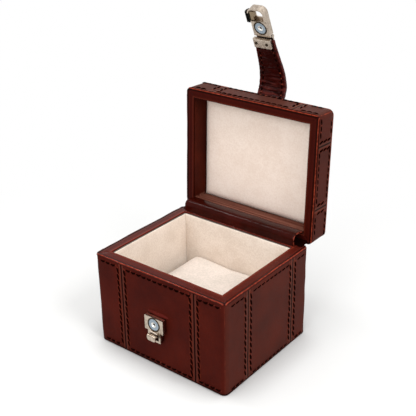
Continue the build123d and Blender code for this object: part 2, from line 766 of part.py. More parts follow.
stem_out_y = plate_front_y - tongue_stem
tongue_out_y = plate_front_y - tongue_reach
with BuildPart() as lock_plate_part:
    with BuildSketch(plate_back_plane):
        with BuildLine():
            Polyline(*lock_outline, close=True)
        make_face()
        with Locations((0, lock_ring_z)):
            Circle(ring_radius + ring_air, mode=Mode.SUBTRACT)
        with Locations((0, tongue_top_z - slot_height / 2)):
            Rectangle(2 * slot_half_width, slot_height, mode=Mode.SUBTRACT)
    extrude(amount=lock_plate)
    # lip rolled out along the slot's upper edge
    with BuildSketch(Plane.YZ.offset(-slot_lip_half_width)):
        with Locations((plate_front_y, tongue_top_z + slot_lip)):
            Circle(slot_lip)
    extrude(amount=2 * slot_lip_half_width)
    # tongue: a stem that leaves the plate, a broad shelf and a lip bent down from it
    with BuildSketch(Plane.XY.offset(tongue_top_z - tongue_sheet)):
        with Locations((0, (stem_out_y - half_depth - lock_block) / 2)):
            Rectangle(tongue_stem_width, -half_depth - lock_block - stem_out_y)
        with Locations((0, (stem_out_y + tongue_out_y) / 2)):
            Rectangle(tongue_width, stem_out_y - tongue_out_y)
    extrude(amount=tongue_sheet)
    with BuildSketch(Plane.XZ.offset(-tongue_out_y - tongue_sheet)):
        with Locations((0, tongue_top_z - tongue_lip / 2)):
            Rectangle(tongue_width, tongue_lip)
        lip_corners = vertices().group_by(Axis.Y)[0]
        fillet(lip_corners, radius=tongue_corner)
    extrude(amount=tongue_sheet)
    tongue_front_edge = lock_plate_part.edges().filter_by(Axis.X).group_by(Axis.Y)[0]
    fillet(tongue_front_edge.sort_by(Axis.Z)[-1], radius=tongue_round)
    # the stem runs up to the plate behind the rolled lip
    with BuildSketch(plate_back_plane):
        with Locations((0, tongue_top_z)):
            Rectangle(tongue_stem_width, 2 * tongue_sheet)
    extrude(amount=lock_plate)
    # two beads on the shelf
    with BuildSketch(Plane.XY.offset(tongue_top_z - tongue_sheet / 2)):
        with Locations((0, (stem_out_y + tongue_out_y + tongue_sheet / 2) / 2)):
            with GridLocations(2 * tongue_bead_x, 1, 2, 1):
                Circle(tongue_bead_radius)
    extrude(amount=tongue_sheet)
lock_plate_part.part.label = "lock_plate"
export_step(lock_plate_part.part, "parts/lock_plate.step")


def ring_magnet(plane, label):
    """A flat ring magnet with a countersunk middle, built up from a seat plane."""
    with BuildPart() as ring:
        with BuildSketch(plane):
            Circle(ring_radius)
            Circle(ring_rivet_bore_radius, mode=Mode.SUBTRACT)
        extrude(amount=ring_thickness)
        with BuildSketch(plane.offset(ring_thickness / 2)):
            Circle(ring_hole_radius)
        extrude(amount=ring_thickness, mode=Mode.SUBTRACT)
        top_edges = ring.edges().filter_by(GeomType.CIRCLE).sort_by(SortBy.RADIUS)[-2:]
        outer_top = top_edges.sort_by(Axis((0, 0, 0), plane.z_dir))[-1]
        fillet(outer_top, radius=ring_round)
    ring.part.label = label
    export_step(ring.part, "parts/" + label + ".step")


def ring_rivet(plane, label, tail):
    """The rivet that holds a ring magnet: a head in the ring and a shank below it."""
    with BuildPart() as rivet:
        with BuildSketch(plane.offset(-tail)):
            Circle(ring_rivet_bore_radius)
        extrude(amount=tail + ring_thickness / 2)
        with BuildSketch(plane.offset(ring_thickness / 2)):
            Circle(ring_rivet_head_radius)
        extrude(amount=ring_rivet_head)
    rivet.part.label = label
    export_step(rivet.part, "parts/" + label + ".step")


lock_ring_plane = Plane(
    origin=(0, -half_depth - lock_block, lock_ring_z), x_dir=(1, 0, 0), z_dir=(0, -1, 0)
)
ring_magnet(lock_ring_plane, "lock_magnet")
ring_rivet(lock_ring_plane, "lock_rivet", lock_block)

# ---------------------------------------------------------------- hasp

hasp_back_plane = hasp_plane.offset(-hasp_thickness)
hood_inner_half = hasp_half_width - hood_wall
hood_inner_end = hood_end - hood_end_wall
catch_back_n = -hasp_thickness + hood_floor + catch_air
# the finger lies between the plate and the tongue's lip
finger_back_n = hasp_contact_gap - tongue_reach + tongue_sheet + catch_air
finger_front_n = finger_back_n + catch_sheet
finger_low = hasp_ring_s + tongue_top + tongue_sheet + 2 * catch_air
catch_middle_s = button_high - catch_slide_width / 2

with BuildPart() as hasp_body:
    # block that holds the magnet, with its face running down past the heel
    with BuildSketch(hasp_back_plane):
        with Locations((0, (hasp_heel + hasp_block_end) / 2)):
            Rectangle(2 * hasp_half_width, hasp_block_end - hasp_heel)
    extrude(amount=hasp_thickness)
    with BuildSketch(hasp_plane.offset(-hasp_lip)):
        with Locations((0, hasp_block_end / 2)):
            Rectangle(2 * hasp_half_width, hasp_block_end)
    extrude(amount=hasp_lip)
    # hood: floor, side walls and a rounded end wall
    with BuildSketch(hasp_back_plane):
        with Locations((0, (hasp_block_end - hood_wall + hood_end) / 2)):
            Rectangle(2 * hasp_half_width, hood_end - hasp_block_end + hood_wall)
        fillet(vertices().group_by(Axis.Y)[-1], radius=hood_corner)
    extrude(amount=hasp_thickness + hood_rise)
    with BuildSketch(hasp_back_plane.offset(hood_floor)):
        with Locations((0, (hasp_block_end + hood_inner_end) / 2)):
            Rectangle(2 * hood_inner_half, hood_inner_end - hasp_block_end)
        fillet(vertices().group_by(Axis.Y)[-1], radius=hood_corner - hood_wall)
    extrude(amount=hasp_thickness + hood_rise, mode=Mode.SUBTRACT)
    with BuildSketch(hasp_back_plane.offset(hood_floor - hood_groove_depth)):
        with Locations((0, (hood_groove_low + hood_inner_end) / 2)):
            Rectangle(2 * (hood_inner_half - hood_corner + hood_wall), hood_inner_end - hood_groove_low)
    extrude(amount=hood_groove_depth, mode=Mode.SUBTRACT)
    # the hood's mouth is slanted back to clear the lock's shoulders
    with BuildSketch(hasp_side_plane.offset(-hasp_half_width)):
        with BuildLine():
            Polyline(
                (hasp_block_end - hood_slant, 0),
                (hasp_block_end + catch_air + hasp_contact_gap, 0),
                (hasp_block_end + catch_air + hasp_contact_gap + hood_slant, hood_rise),
                (hasp_block_end + catch_air + hasp_contact_gap + hood_slant, 2 * hood_rise),
                (hasp_block_end - hood_slant, 2 * hood_rise),
                close=True,
            )
        make_face()
    extrude(amount=2 * hasp_half_width, mode=Mode.SUBTRACT)
    # window through the floor, and the side opening that the catch runs in
    with BuildSketch(hasp_back_plane):
        with Locations(((window_left + window_right) / 2, (window_low + window_high) / 2)):
            Rectangle(window_right - window_left, window_high - window_low)
    extrude(amount=hood_floor, mode=Mode.SUBTRACT)
    with BuildSketch(hasp_back_plane.offset(hood_floor)):
        with Locations((-hasp_half_width, catch_middle_s)):
            Rectangle(4 * hood_wall, catch_slide_width + 2 * catch_air)
    extrude(amount=hasp_thickness + hood_rise, mode=Mode.SUBTRACT)
    # seat of the magnet
    with BuildSketch(hasp_plane.offset(-ring_thickness)):
        with Locations((0, hasp_ring_s)):
            Circle(ring_radius + ring_air)
    extrude(amount=ring_thickness, mode=Mode.SUBTRACT)
    with BuildSketch(hasp_back_plane):
        with Locations((0, hasp_ring_s)):
            Circle(ring_rivet_bore_radius)
    extrude(amount=hasp_thickness, mode=Mode.SUBTRACT)
    # knuckle
    with BuildSketch(hasp_side_plane.offset(-hasp_knuckle_half)):
        with Locations((hasp_pin_s, hasp_pin_n)):
            Circle(hasp_knuckle_radius)
        with Locations(((hasp_pin_s + 2 * hasp_heel) / 2, hasp_pin_n)):
            Rectangle(2 * hasp_heel - hasp_pin_s, 2 * hasp_knuckle_radius)
    extrude(amount=2 * hasp_knuckle_half)
    with BuildSketch(hasp_side_plane.offset(-hasp_half_width)):
        with Locations((hasp_pin_s, hasp_pin_n)):
            Circle(hasp_pin_radius + running_clearance)
    extrude(amount=2 * hasp_half_width, mode=Mode.SUBTRACT)
hasp_body.part.label = "hasp_body"
export_step(hasp_body.part, "parts/hasp_body.step")

hasp_ring_plane = Plane(
    hasp_plane.from_local_coords((0, hasp_ring_s, -ring_thickness)), (1, 0, 0), hasp_plane.z_dir
)
ring_magnet(hasp_ring_plane, "hasp_magnet")
ring_rivet(hasp_ring_plane, "hasp_rivet", hasp_thickness - ring_thickness)

# The catch has a ribbed button outside the hood, a foot that runs in the hood's side
# and a finger behind the tongue's lip. Pulled to -X, the finger leaves the lip.
finger_end = -tongue_width / 2 + catch_grip
foot_end = -tongue_width / 2 - catch_air
button_right = -hasp_half_width - button_gap
button_left = button_right - button_out
button_middle = ((button_left + button_right) / 2, (button_low + button_high) / 2)
catch_slide_high = catch_middle_s + catch_slide_width / 2
with BuildPart() as catch_slider:
    with BuildSketch(hasp_plane.offset(catch_back_n)):
        with Locations(((button_left + foot_end) / 2, catch_middle_s)):
            Rectangle(foot_end - button_left, catch_slide_width)
    extrude(amount=finger_front_n - catch_back_n)
    with BuildSketch(hasp_plane.offset(finger_back_n)):
        with Locations(((button_left + finger_end) / 2, (finger_low + catch_slide_high) / 2)):
            Rectangle(finger_end - button_left, catch_slide_high - finger_low)
    extrude(amount=catch_sheet)
    with BuildSketch(hasp_plane.offset(-hasp_thickness)):
        with Locations(button_middle):
            RectangleRounded(button_out, button_high - button_low, button_corner)
    extrude(amount=hasp_thickness - button_front_drop)
    with BuildSketch(hasp_plane.offset(-button_front_drop - button_rib_depth)):
        with Locations(button_middle):
            with GridLocations(button_out / button_rib_count, 1, button_rib_count - 1, 1):
                Rectangle(button_rib_gap, button_high - button_low)
    extrude(amount=button_rib_depth, mode=Mode.SUBTRACT)
catch_slider.part.label = "catch_slider"
export_step(catch_slider.part, "parts/catch_slider.step")

with BuildPart() as hasp_pin:
    with BuildSketch(hasp_side_plane.offset(-clamp_half_width)):
        with Locations((hasp_pin_s, hasp_pin_n)):
            Circle(hasp_pin_radius)
    extrude(amount=2 * clamp_half_width)
hasp_pin.part.label = "hasp_pin"
export_step(hasp_pin.part, "parts/hasp_pin.step")

# ---------------------------------------------------------------- clamp and strap

rivet_s = (clamp_low + clamp_high) / 2 + rivet_shift
clamp_back_n = -strap_thickness - clamp_back
clamp_neck_s = rivet_s + clamp_rivet_radius
clamp_back_high = hasp_pin_s - hasp_knuckle_radius - knuckle_clearance

with BuildPart() as clamp_plate:
    with BuildSketch(hasp_plane):
        with Locations((0, (clamp_low + clamp_high) / 2)):
            Rectangle(2 * clamp_half_width, clamp_high - clamp_low)
            with Locations((0, rivet_shift)):
                with GridLocations(2 * clamp_rivet_x, 1, 2, 1):
                    Circle(clamp_rivet_radius, mode=Mode.SUBTRACT)
    extrude(amount=clamp_thickness)
    front_face = clamp_plate.faces().sort_by(Axis((0, 0, 0), hasp_plane.z_dir))[-1]
    chamfer(front_face.outer_wire().edges(), length=clamp_bevel)
clamp_plate.part.label = "clamp_plate"
export_step(clamp_plate.part, "parts/clamp_plate.step")

with BuildPart() as clamp_back_plate:
    with BuildSketch(hasp_plane.offset(clamp_back_n)):
        with Locations((0, (clamp_low + clamp_back_high) / 2)):
            Rectangle(2 * clamp_half_width, clamp_back_high - clamp_low)
        with Locations((0, rivet_s)):
            with GridLocations(2 * clamp_rivet_x, 1, 2, 1):
                Circle(clamp_rivet_radius, mode=Mode.SUBTRACT)
    extrude(amount=clamp_back)
    knuckle_room = hasp_knuckle_half + knuckle_clearance / 2
    for low_x in (-clamp_half_width, knuckle_room):
        with BuildSketch(hasp_side_plane.offset(low_x)):
            with Locations((hasp_pin_s, hasp_pin_n)):
                Circle(hasp_knuckle_radius)
            with Locations(((hasp_pin_s + clamp_neck_s) / 2, clamp_back_n + clamp_back / 2)):
                Rectangle(hasp_pin_s - clamp_neck_s, clamp_back)
            with Locations((hasp_pin_s, hasp_pin_n)):
                Circle(hasp_pin_radius, mode=Mode.SUBTRACT)
        extrude(amount=clamp_half_width - knuckle_room)
clamp_back_plate.part.label = "clamp_back_plate"
export_step(clamp_back_plate.part, "parts/clamp_back_plate.step")

with BuildPart() as clamp_rivets:
    with BuildSketch(hasp_plane.offset(clamp_back_n)):
        with Locations((0, rivet_s)):
            with GridLocations(2 * clamp_rivet_x, 1, 2, 1):
                Circle(clamp_rivet_radius)
    extrude(amount=clamp_back + strap_thickness + clamp_thickness + clamp_rivet_head)
clamp_rivets.part.label = "clamp_rivets"
export_step(clamp_rivets.part, "parts/clamp_rivets.step")

# The strap is drawn from the side in the lid's own plane and trimmed to its taper.
root_along = lid_length - strap_rise_from
root_up = lid_height + strap_thickness / 2
crest = (lid_length + strap_crest_reach, root_up + strap_crest_lift)


def in_lid_side(y, z):
    """A rest-pose point as lengths along and above the lid's rim plane."""
    out = (y - lid_origin[0], z - lid_origin[1])
    along = out[0] * lid_along[0] + out[1] * lid_along[1]
    return along, out[0] * lid_up[0] + out[1] * lid_up[1]


def hasp_point(s, n):
    """A rest-pose (y, z) point from lengths along the hasp and off its face."""
    return (
        hasp_origin[0] + s * hasp_tipward[0] + n * hasp_inward[0],
        hasp_origin[1] + s * hasp_tipward[1] + n * hasp_inward[1],
    )


strap_mid_n = -strap_thickness / 2
clamp_mouth = in_lid_side(*hasp_point(clamp_low - strap_lead, strap_mid_n))
strap_tip = in_lid_side(*hasp_point(strap_end_s, strap_mid_n))
tip_run = (strap_tip[0] - clamp_mouth[0], strap_tip[1] - clamp_mouth[1])

with BuildPart() as strap:
    with BuildSketch(lid_side_plane.offset(-strap_root_width / 2)):
        with BuildLine():
            Spline(
                (root_along, root_up),
                crest,
                clamp_mouth,
                tangents=((1, 0), (1, 0), tip_run),
            )
            Line(clamp_mouth, strap_tip)
        trace(line_width=strap_thickness)
    extrude(amount=strap_root_width)
    taper_from = lid_length + strap_crest_reach
    with BuildSketch(lid_plane.offset(-lid_height)):
        with BuildLine():
            Polyline(
                (-strap_root_width / 2, root_along),
                (-strap_root_width / 2, taper_from),
                (-strap_end_width / 2, clamp_mouth[0]),
                (-strap_end_width / 2, 2 * lid_length),
                (strap_end_width / 2, 2 * lid_length),
                (strap_end_width / 2, clamp_mouth[0]),
                (strap_root_width / 2, taper_from),
                (strap_root_width / 2, root_along),
                close=True,
            )
        make_face()
    extrude(amount=4 * lid_height, mode=Mode.INTERSECT)
    with BuildSketch(hasp_plane.offset(-strap_thickness - 1)):
        with Locations((0, rivet_s)):
            with GridLocations(2 * clamp_rivet_x, 1, 2, 1):
                Circle(clamp_rivet_radius)
    extrude(amount=strap_thickness + 2, mode=Mode.SUBTRACT)
strap.part.label = "strap"
export_step(strap.part, "parts/strap.step")

with BuildPart() as strap_tail:
    with BuildSketch(lid_plane.offset(lid_height)):
        with Locations((0, root_along - strap_tail_length / 2)):
            Rectangle(strap_root_width, strap_tail_length)
    extrude(amount=strap_thickness)
    tail_corners = strap_tail.edges().filter_by(Axis((0, 0, 0), lid_plane.z_dir))
    fillet(tail_corners.sort_by(Axis((0, 0, 0), lid_plane.y_dir))[:2], radius=strap_tail_corner)
strap_tail.part.label = "strap_tail"
export_step(strap_tail.part, "parts/strap_tail.step")

# ---------------------------------------------------------------- joint places

print("lid hinge axis", (0, round(pin_y, 3), round(pin_z, 3)))
print("strap fold axis", (0, *(round(v, 3) for v in fold_axis_rest)))
print("hasp pin axis", (0, *(round(v, 3) for v in hasp_point(hasp_pin_s, hasp_pin_n))))
print("hasp origin", hasp_origin, "tipward", hasp_tipward, "inward", hasp_inward)
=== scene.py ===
# %% [markdown]
# # A leather display box for a pocket watch
# This lesson dresses a finished CAD model. The CAD gives every board, hinge and lock part
# its true place, and here the leather, the suede and the stitching are made round it.
# Lengths are written in millimetres and turned to Blender's metres at the very end of
# each piece, because leatherwork is measured in millimetres.

# %% Load the CAD frame
import math

import bmesh
import bpy
from mathutils import Matrix, Vector, noise


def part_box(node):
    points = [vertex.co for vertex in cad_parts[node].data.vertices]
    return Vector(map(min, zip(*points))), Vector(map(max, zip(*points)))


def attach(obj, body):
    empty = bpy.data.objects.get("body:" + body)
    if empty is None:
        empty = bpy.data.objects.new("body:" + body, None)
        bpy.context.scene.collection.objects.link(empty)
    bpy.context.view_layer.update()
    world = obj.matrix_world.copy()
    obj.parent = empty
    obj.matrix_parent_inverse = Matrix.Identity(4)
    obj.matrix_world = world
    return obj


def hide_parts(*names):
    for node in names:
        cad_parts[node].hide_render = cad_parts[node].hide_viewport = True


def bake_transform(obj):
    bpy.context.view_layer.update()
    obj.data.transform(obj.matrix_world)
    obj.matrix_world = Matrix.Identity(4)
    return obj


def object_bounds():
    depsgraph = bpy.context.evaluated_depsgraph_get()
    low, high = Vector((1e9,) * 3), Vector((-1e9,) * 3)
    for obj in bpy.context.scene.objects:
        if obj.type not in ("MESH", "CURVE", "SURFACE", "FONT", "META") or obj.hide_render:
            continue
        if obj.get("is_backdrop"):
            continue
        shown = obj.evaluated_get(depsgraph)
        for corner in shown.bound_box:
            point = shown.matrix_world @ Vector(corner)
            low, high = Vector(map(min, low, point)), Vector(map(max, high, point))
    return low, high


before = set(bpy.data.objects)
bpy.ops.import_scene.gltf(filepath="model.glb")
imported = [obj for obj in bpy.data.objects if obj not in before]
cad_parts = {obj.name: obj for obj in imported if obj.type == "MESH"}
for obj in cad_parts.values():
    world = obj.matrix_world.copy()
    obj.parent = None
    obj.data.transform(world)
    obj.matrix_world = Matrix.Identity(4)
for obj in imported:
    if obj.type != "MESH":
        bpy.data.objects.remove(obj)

MM = 0.001
cad_low, cad_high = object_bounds()
print("CAD box in mm:", [round(v / MM, 1) for v in (*cad_low, *cad_high)])

# %% [markdown]
# ## The camera
# The box is seen from its front right corner, a little above the rim. A longer lens than
# usual keeps the upright edges nearly parallel, as in product pictures. The camera's
# matrix is built from three directions, so a slight tilt of the frame can be kept.


# %% Place the camera
def stand(name, data):
    """An object with this data, put in the scene."""
    made = bpy.data.objects.new(name, data)
    bpy.context.scene.collection.objects.link(made)
    return made


camera_spot = Vector((310.48, -380.59, 332.27)) * MM
azimuth, elevation, roll = (math.radians(v) for v in (38.68, 25.36, -0.97))
level = math.cos(elevation)
backward = Vector((math.sin(azimuth) * level, -math.cos(azimuth) * level, math.sin(elevation)))
level_right = backward.cross(Vector((0, 0, -1))).normalized()
level_up = backward.cross(level_right).normalized()
right = math.cos(roll) * level_right + math.sin(roll) * level_up
up = -math.sin(roll) * level_right + math.cos(roll) * level_up
camera_data = bpy.data.cameras.new("camera")
camera_data.lens, camera_data.sensor_width = 71.43, 36.0
camera = stand("camera", camera_data)
camera.matrix_world = Matrix.Translation(camera_spot) @ Matrix((right, up, backward)).transposed().to_4x4()
bpy.context.scene.camera = camera
print("camera looks along", [round(v, 3) for v in -backward])

# %% [markdown]
# ## Small tools for materials
# Colours are written as sRGB hex values, as a dyer's card would give them, and Blender
# wants them linear. A node is added with its settings and its links in one go, and where
# a node is given for a socket, its first output is meant. Coats of dye and layers of
# relief are laid one over the other in a loop. Pattern sizes are real sizes in
# millimetres: Object coordinates are metres, so a cell of s mm needs a scale of 1000 / s.


# %% Colour and node helpers
def dye(code):
    """A linear colour from an sRGB hex value."""
    parts = [int(code[i : i + 2], 16) / 255 for i in (1, 3, 5)]
    return (*[p / 12.92 if p <= 0.04045 else ((p + 0.055) / 1.055) ** 2.4 for p in parts], 1.0)


def add(finish, kind, sockets=None, **settings):
    """One shader node with its settings, and its sockets set or linked."""
    made = finish.node_tree.nodes.new("ShaderNode" + kind)
    for name, value in settings.items():
        setattr(made, name, value)
    for name, value in (sockets or {}).items():
        if isinstance(value, bpy.types.Node):
            value = value.outputs[0]
        if isinstance(value, bpy.types.NodeSocket):
            finish.node_tree.links.new(value, made.inputs[name])
        else:
            made.inputs[name].default_value = value
    return made


def new_finish(name):
    """A material with nothing in it, and its coordinates of the object."""
    finish = bpy.data.materials.new(name)
    finish.use_nodes = True
    finish.node_tree.nodes.clear()
    return finish, add(finish, "TexCoord").outputs["Object"]


def every(size):
    """The texture scale whose cells are that many millimetres."""
    return 1000 / size


def coated(finish, colour, *coats):
    """Colours laid one over the other; each coat is how much of it there is, and its colour."""
    for amount, over in coats:
        below, above = (dye(tone) if isinstance(tone, str) else tone for tone in (colour, over))
        colour = add(finish, "Mix", {0: amount, 6: below, 7: above}, data_type="RGBA").outputs[2]
    return colour


def embossed(finish, *layers):
    """Bumps laid one over the other; each has a height, a strength and a depth in millimetres."""
    under = {}
    for height, strength, depth in layers:
        bump = add(finish, "Bump", {"Height": height, "Strength": strength, "Distance": depth * MM, **under})
        under = {"Normal": bump}
    return bump


def span(value, start, stop, low=0.0, high=1.0):
    """The sockets of a MapRange node."""
    return {"Value": value, "From Min": start, "From Max": stop, "To Min": low, "To Max": high}


def cells(place, size, detail, roughness):
    """The sockets of a noise whose cells are that many millimetres."""
    return {"Vector": place, "Scale": every(size), "Detail": detail, "Roughness": roughness}


def off_line(finish, distance, line):
    """How far a measured distance is from a line, on either side of it."""
    off = add(finish, "Math", {0: distance, 1: line}, operation="SUBTRACT")
    return add(finish, "Math", {0: off}, operation="ABSOLUTE")


print("oxblood in linear light:", [round(v, 3) for v in dye("#5a211a")])

# %% [markdown]
# ## Oxblood leather
# The shell is vegetable-tanned calf, dyed oxblood and polished with wax. The hollows by the
# stitch rows and in the creases are painted dark, as painted shade, and the high places by the
# stitches and along the edges rub through to the orange red below. A soft noise gives the cloudy dye and a
# Voronoi
# pattern the pore grain. Where the finish has to follow a seam or an edge, it reads an
# attribute that each piece keeps on its points: three distances in millimetres, measured
# when the piece is made. X is the distance to the seam, Y to the nearest sewn row and Z
# to the nearest edge; on a rim X is the way across it, and on bent leather how bent it is.

# %% Dye, rows and grain of a leather
stitch_pitch = 4.6
seam_row = 3.0


def cloudy_dye(finish, place, hollow, face):
    """Two close tones of dye in soft clouds, and a finer mottle for wear and gloss."""
    cloud = add(finish, "TexNoise", cells(place, 24, 3.0, 0.5))
    mottle = add(finish, "TexNoise", cells(place, 2.4, 3.0, 0.6))
    blend = add(finish, "Math", {0: cloud, 1: 0.75}, operation="MULTIPLY")
    blend = add(finish, "Math", {0: mottle, 1: 0.25, 2: blend}, operation="MULTIPLY_ADD")
    level = add(finish, "MapRange", span(blend, 0.36, 0.64))
    return coated(finish, hollow, (level, face)), cloud, mottle


def sewn_rows(finish, spot, measure, upright):
    """How near each point is to a sewn row, how the thread pulls there, and the lips beside it."""
    level = "Y" if upright == "Z" else "Z"
    across = add(finish, "Math", {0: spot.outputs["X"], 1: spot.outputs[level]}, operation="ADD")
    near_any, pull_any, lip_any = 0.0, 0.0, 0.0
    for distance, row, along in (
        (measure.outputs["X"], seam_row, spot.outputs[upright]),
        (measure.outputs["Y"], 0.0, across),
    ):
        off_row = off_line(finish, distance, row)
        near = add(finish, "MapRange", span(off_row, 1.25, 0.2), interpolation_type="SMOOTHSTEP")
        turn = add(finish, "Math", {0: along, 1: 2 * math.pi * every(stitch_pitch)}, operation="MULTIPLY")
        wave = add(finish, "Math", {0: turn}, operation="COSINE")
        pull = add(finish, "Math", {0: near, 1: wave}, operation="MULTIPLY")
        beside = off_line(finish, off_row, 1.0)
        lip = add(finish, "MapRange", span(beside, 0.45, 0.1, high=0.26))
        near_any = add(finish, "Math", {0: near, 1: near_any}, operation="MAXIMUM")
        pull_any = add(finish, "Math", {0: pull, 1: pull_any}, operation="ADD")
        lip_any = add(finish, "Math", {0: lip, 1: lip_any}, operation="MAXIMUM")
    return near_any, pull_any, lip_any


def leather_finish(
    name, hollow, face, worn, roughness, gloss, rows=None, bands=None, bead=None, rub_to=None, edge=None,
    rub=0.85, painted_sheen=None, painted_reflection_below=None, creases=None, crease_size=None, grain=0.9,
):
    """Waxed leather: rows, bands, rubbed edges, a painted sheen, a painted reflection and creases, where
    asked for; rows and creases carry painted shade.
    """
    finish, place = new_finish(name)
    colour, cloud, mottle = cloudy_dye(finish, place, hollow, face)
    tooling = add(finish, "Attribute", attribute_name="tooling")
    measure = add(finish, "SeparateXYZ", {0: tooling.outputs["Vector"]})
    spot = add(finish, "SeparateXYZ", {0: place})
    coats, relief, rubbed = [], [(cloud, 0.3, 0.6)], 0.0
    if bands:
        # the tones across a rim: rubbed bead, painted shade in the hollow, flat middle, painted highlight on
        # the inner ridge
        ramp = add(finish, "ValToRGB", {0: measure.outputs["X"]})
        while len(ramp.color_ramp.elements) < len(bands):
            ramp.color_ramp.elements.new(0.5)
        for element, (position, code) in zip(ramp.color_ramp.elements, bands):
            element.position, element.color = position, dye(code)
        coats.append((0.8, ramp))
        off_bead = off_line(finish, measure.outputs["X"], bead)
        rubbed = add(
            finish, "MapRange", span(off_bead, rub_to, 0.4 * rub_to, high=rub),
            interpolation_type="SMOOTHSTEP",
        )
    if rows:
        near, pull, lip = sewn_rows(finish, spot, measure, rows)
        # painted shade: round each stitch the leather is darkened towards the hollow tone
        shade = add(finish, "Math", {0: near, 1: pull}, operation="SUBTRACT")
        shade = add(finish, "Math", {0: shade, 1: 0.42}, operation="MULTIPLY")
        relief += [(pull, 0.9, 0.3), (near, -0.8, 0.35)]
        rubbed = add(finish, "MapRange", span(pull, 0.3, 0.9, high=0.4))
        rubbed = add(finish, "Math", {0: rubbed, 1: lip}, operation="MAXIMUM")
        # the strips between the seam and its rows stand a little raised and are painted lighter, as a painted
        # highlight
        strip = off_line(finish, measure.outputs["X"], 1.2)
        strip = add(finish, "MapRange", span(strip, 0.8, 0.3, high=0.16))
        seam = add(finish, "MapRange", span(measure.outputs["X"], 0.72, 0.36))
        coats += [(shade, hollow), (strip, "#8f5a4a"), (seam, "#180605")]
    if edge:
        by_edge = add(
            finish, "MapRange", span(measure.outputs["Z"], edge, 0.2 * edge, high=rub),
            interpolation_type="SMOOTHSTEP",
        )
        rubbed = add(finish, "Math", {0: by_edge, 1: rubbed}, operation="MAXIMUM")
    if edge or bands:
        patchy = add(finish, "MapRange", span(mottle, 0.38, 0.6))
        rubbed = add(finish, "Math", {0: rubbed, 1: patchy}, operation="MULTIPLY")
        coats.append((rubbed, worn))
    if painted_sheen:
        # a faint grey painted sheen on the two ends of the box and along the lid's front
        end_way = off_line(finish, spot.outputs["X"], 0.0)
        on_end = add(finish, "MapRange", span(end_way, 53.2 * MM, 54.5 * MM, high=painted_sheen))
        on_top = add(finish, "MapRange", span(spot.outputs["Z"], 157 * MM, 158.5 * MM, high=1.9 * painted_sheen))
        painted_sheen_mask = add(finish, "Math", {0: on_end, 1: on_top}, operation="MAXIMUM")
        coats.append((painted_sheen_mask, "#957c6c"))
    if painted_reflection_below:
        # the part that faces up beside the hinge gets a painted reflection, in long pale streaks
        low = add(finish, "MapRange", span(spot.outputs["Z"], (painted_reflection_below + 1) * MM, painted_reflection_below * MM))
        long_way = add(finish, "Mapping", {"Vector": place, "Scale": (0.03, 1.0, 0.3)})
        streak = add(finish, "TexNoise", cells(long_way, 1.6, 3.0, 0.6))
        painted_reflection_streaks = add(finish, "MapRange", span(streak, 0.36, 0.62, 0.1))
        painted_reflection_streaks = add(finish, "Math", {0: painted_reflection_streaks, 1: low}, operation="MULTIPLY")
        coats.append((painted_reflection_streaks, worn))
    if creases:
        drawn = add(finish, "Mapping", {"Vector": place, "Scale": creases})
        fold = add(finish, "TexNoise", {**cells(drawn, crease_size, 2.0, 0.5), "Distortion": 0.4})
        high = add(finish, "MapRange", span(fold, 0.35, 0.62))
        high = add(finish, "Math", {0: high, 1: measure.outputs["X"]}, operation="MULTIPLY")
        relief.append((high, 0.9, 0.3 * crease_size))
        # painted shade in the crease hollows, then a painted highlight in the worn tone on the crease tops
        sunk = add(finish, "MapRange", span(fold, 0.5, 0.36, high=0.8))
        sunk = add(finish, "Math", {0: sunk, 1: measure.outputs["X"]}, operation="MULTIPLY")
        ridge = add(finish, "MapRange", span(high, 0.55, 1.0, high=0.45))
        coats += [(sunk, "#120302"), (ridge, worn)]
    pores = add(
        finish, "TexVoronoi", {"Vector": place, "Scale": every(grain), "Smoothness": 0.6}, feature="SMOOTH_F1"
    )
    relief += [(mottle, 0.3, 0.25), (pores, 0.35, 0.1)]
    shine = add(finish, "MapRange", span(mottle, 0.3, 0.7, roughness - 0.05, roughness + 0.07))
    skin = add(
        finish, "BsdfPrincipled",
        {
            "Base Color": coated(finish, colour, *coats), "Roughness": shine, "IOR": 1.46,
            "Specular IOR Level": gloss, "Normal": embossed(finish, *relief),
        },
    )
    add(finish, "OutputMaterial", {0: skin})
    return finish


# %% [markdown]
# Now the hides are dyed. The big panels are waxed until they are nearly matt. The rims are
# handled every day, so they are glossier and rubbed bright along the bead. The roll and
# the strap are glazed, and crease where they bend. The humps between the stitches are the
# same leather, polished by fingers.

# %% The leathers of the box
shell_leather = leather_finish(
    "waxed_oxblood_calf", "#3d120d", "#4c170f", "#96402a", 0.42, 0.02,
    rows="Z", edge=0.42, rub=0.45, painted_sheen=0.042,
)
lid_leather = leather_finish(
    "waxed_oxblood_lid_calf", "#38100c", "#45150e", "#a0442c", 0.42, 0.02,
    rows="Y", edge=0.7, rub=0.6, painted_sheen=0.045,
)
# across the base's rim the orange near the bead is wear, the dark bands at the hollow are painted shade, and
# the lighter bands at the inner ridge a painted highlight
base_rim_tones = (
    (0.0, "#240805"), (0.02, "#3a0f09"), (0.035, "#260906"), (0.05, "#5e1f14"), (0.08, "#742a1b"),
    (0.11, "#44140d"), (0.135, "#1c0604"), (0.24, "#200806"), (0.32, "#4c170f"), (0.5, "#46150e"),
    (0.78, "#501a11"), (0.87, "#6e2a1c"), (0.94, "#641f14"), (0.985, "#4a170f"), (1.0, "#200806"),
)
rim_leather = leather_finish(
    "rubbed_oxblood_rim", "#3c110a", "#581c12", "#a0402b", 0.22, 0.07,
    bands=base_rim_tones, bead=0.07, rub=0.6, rub_to=0.045,
)
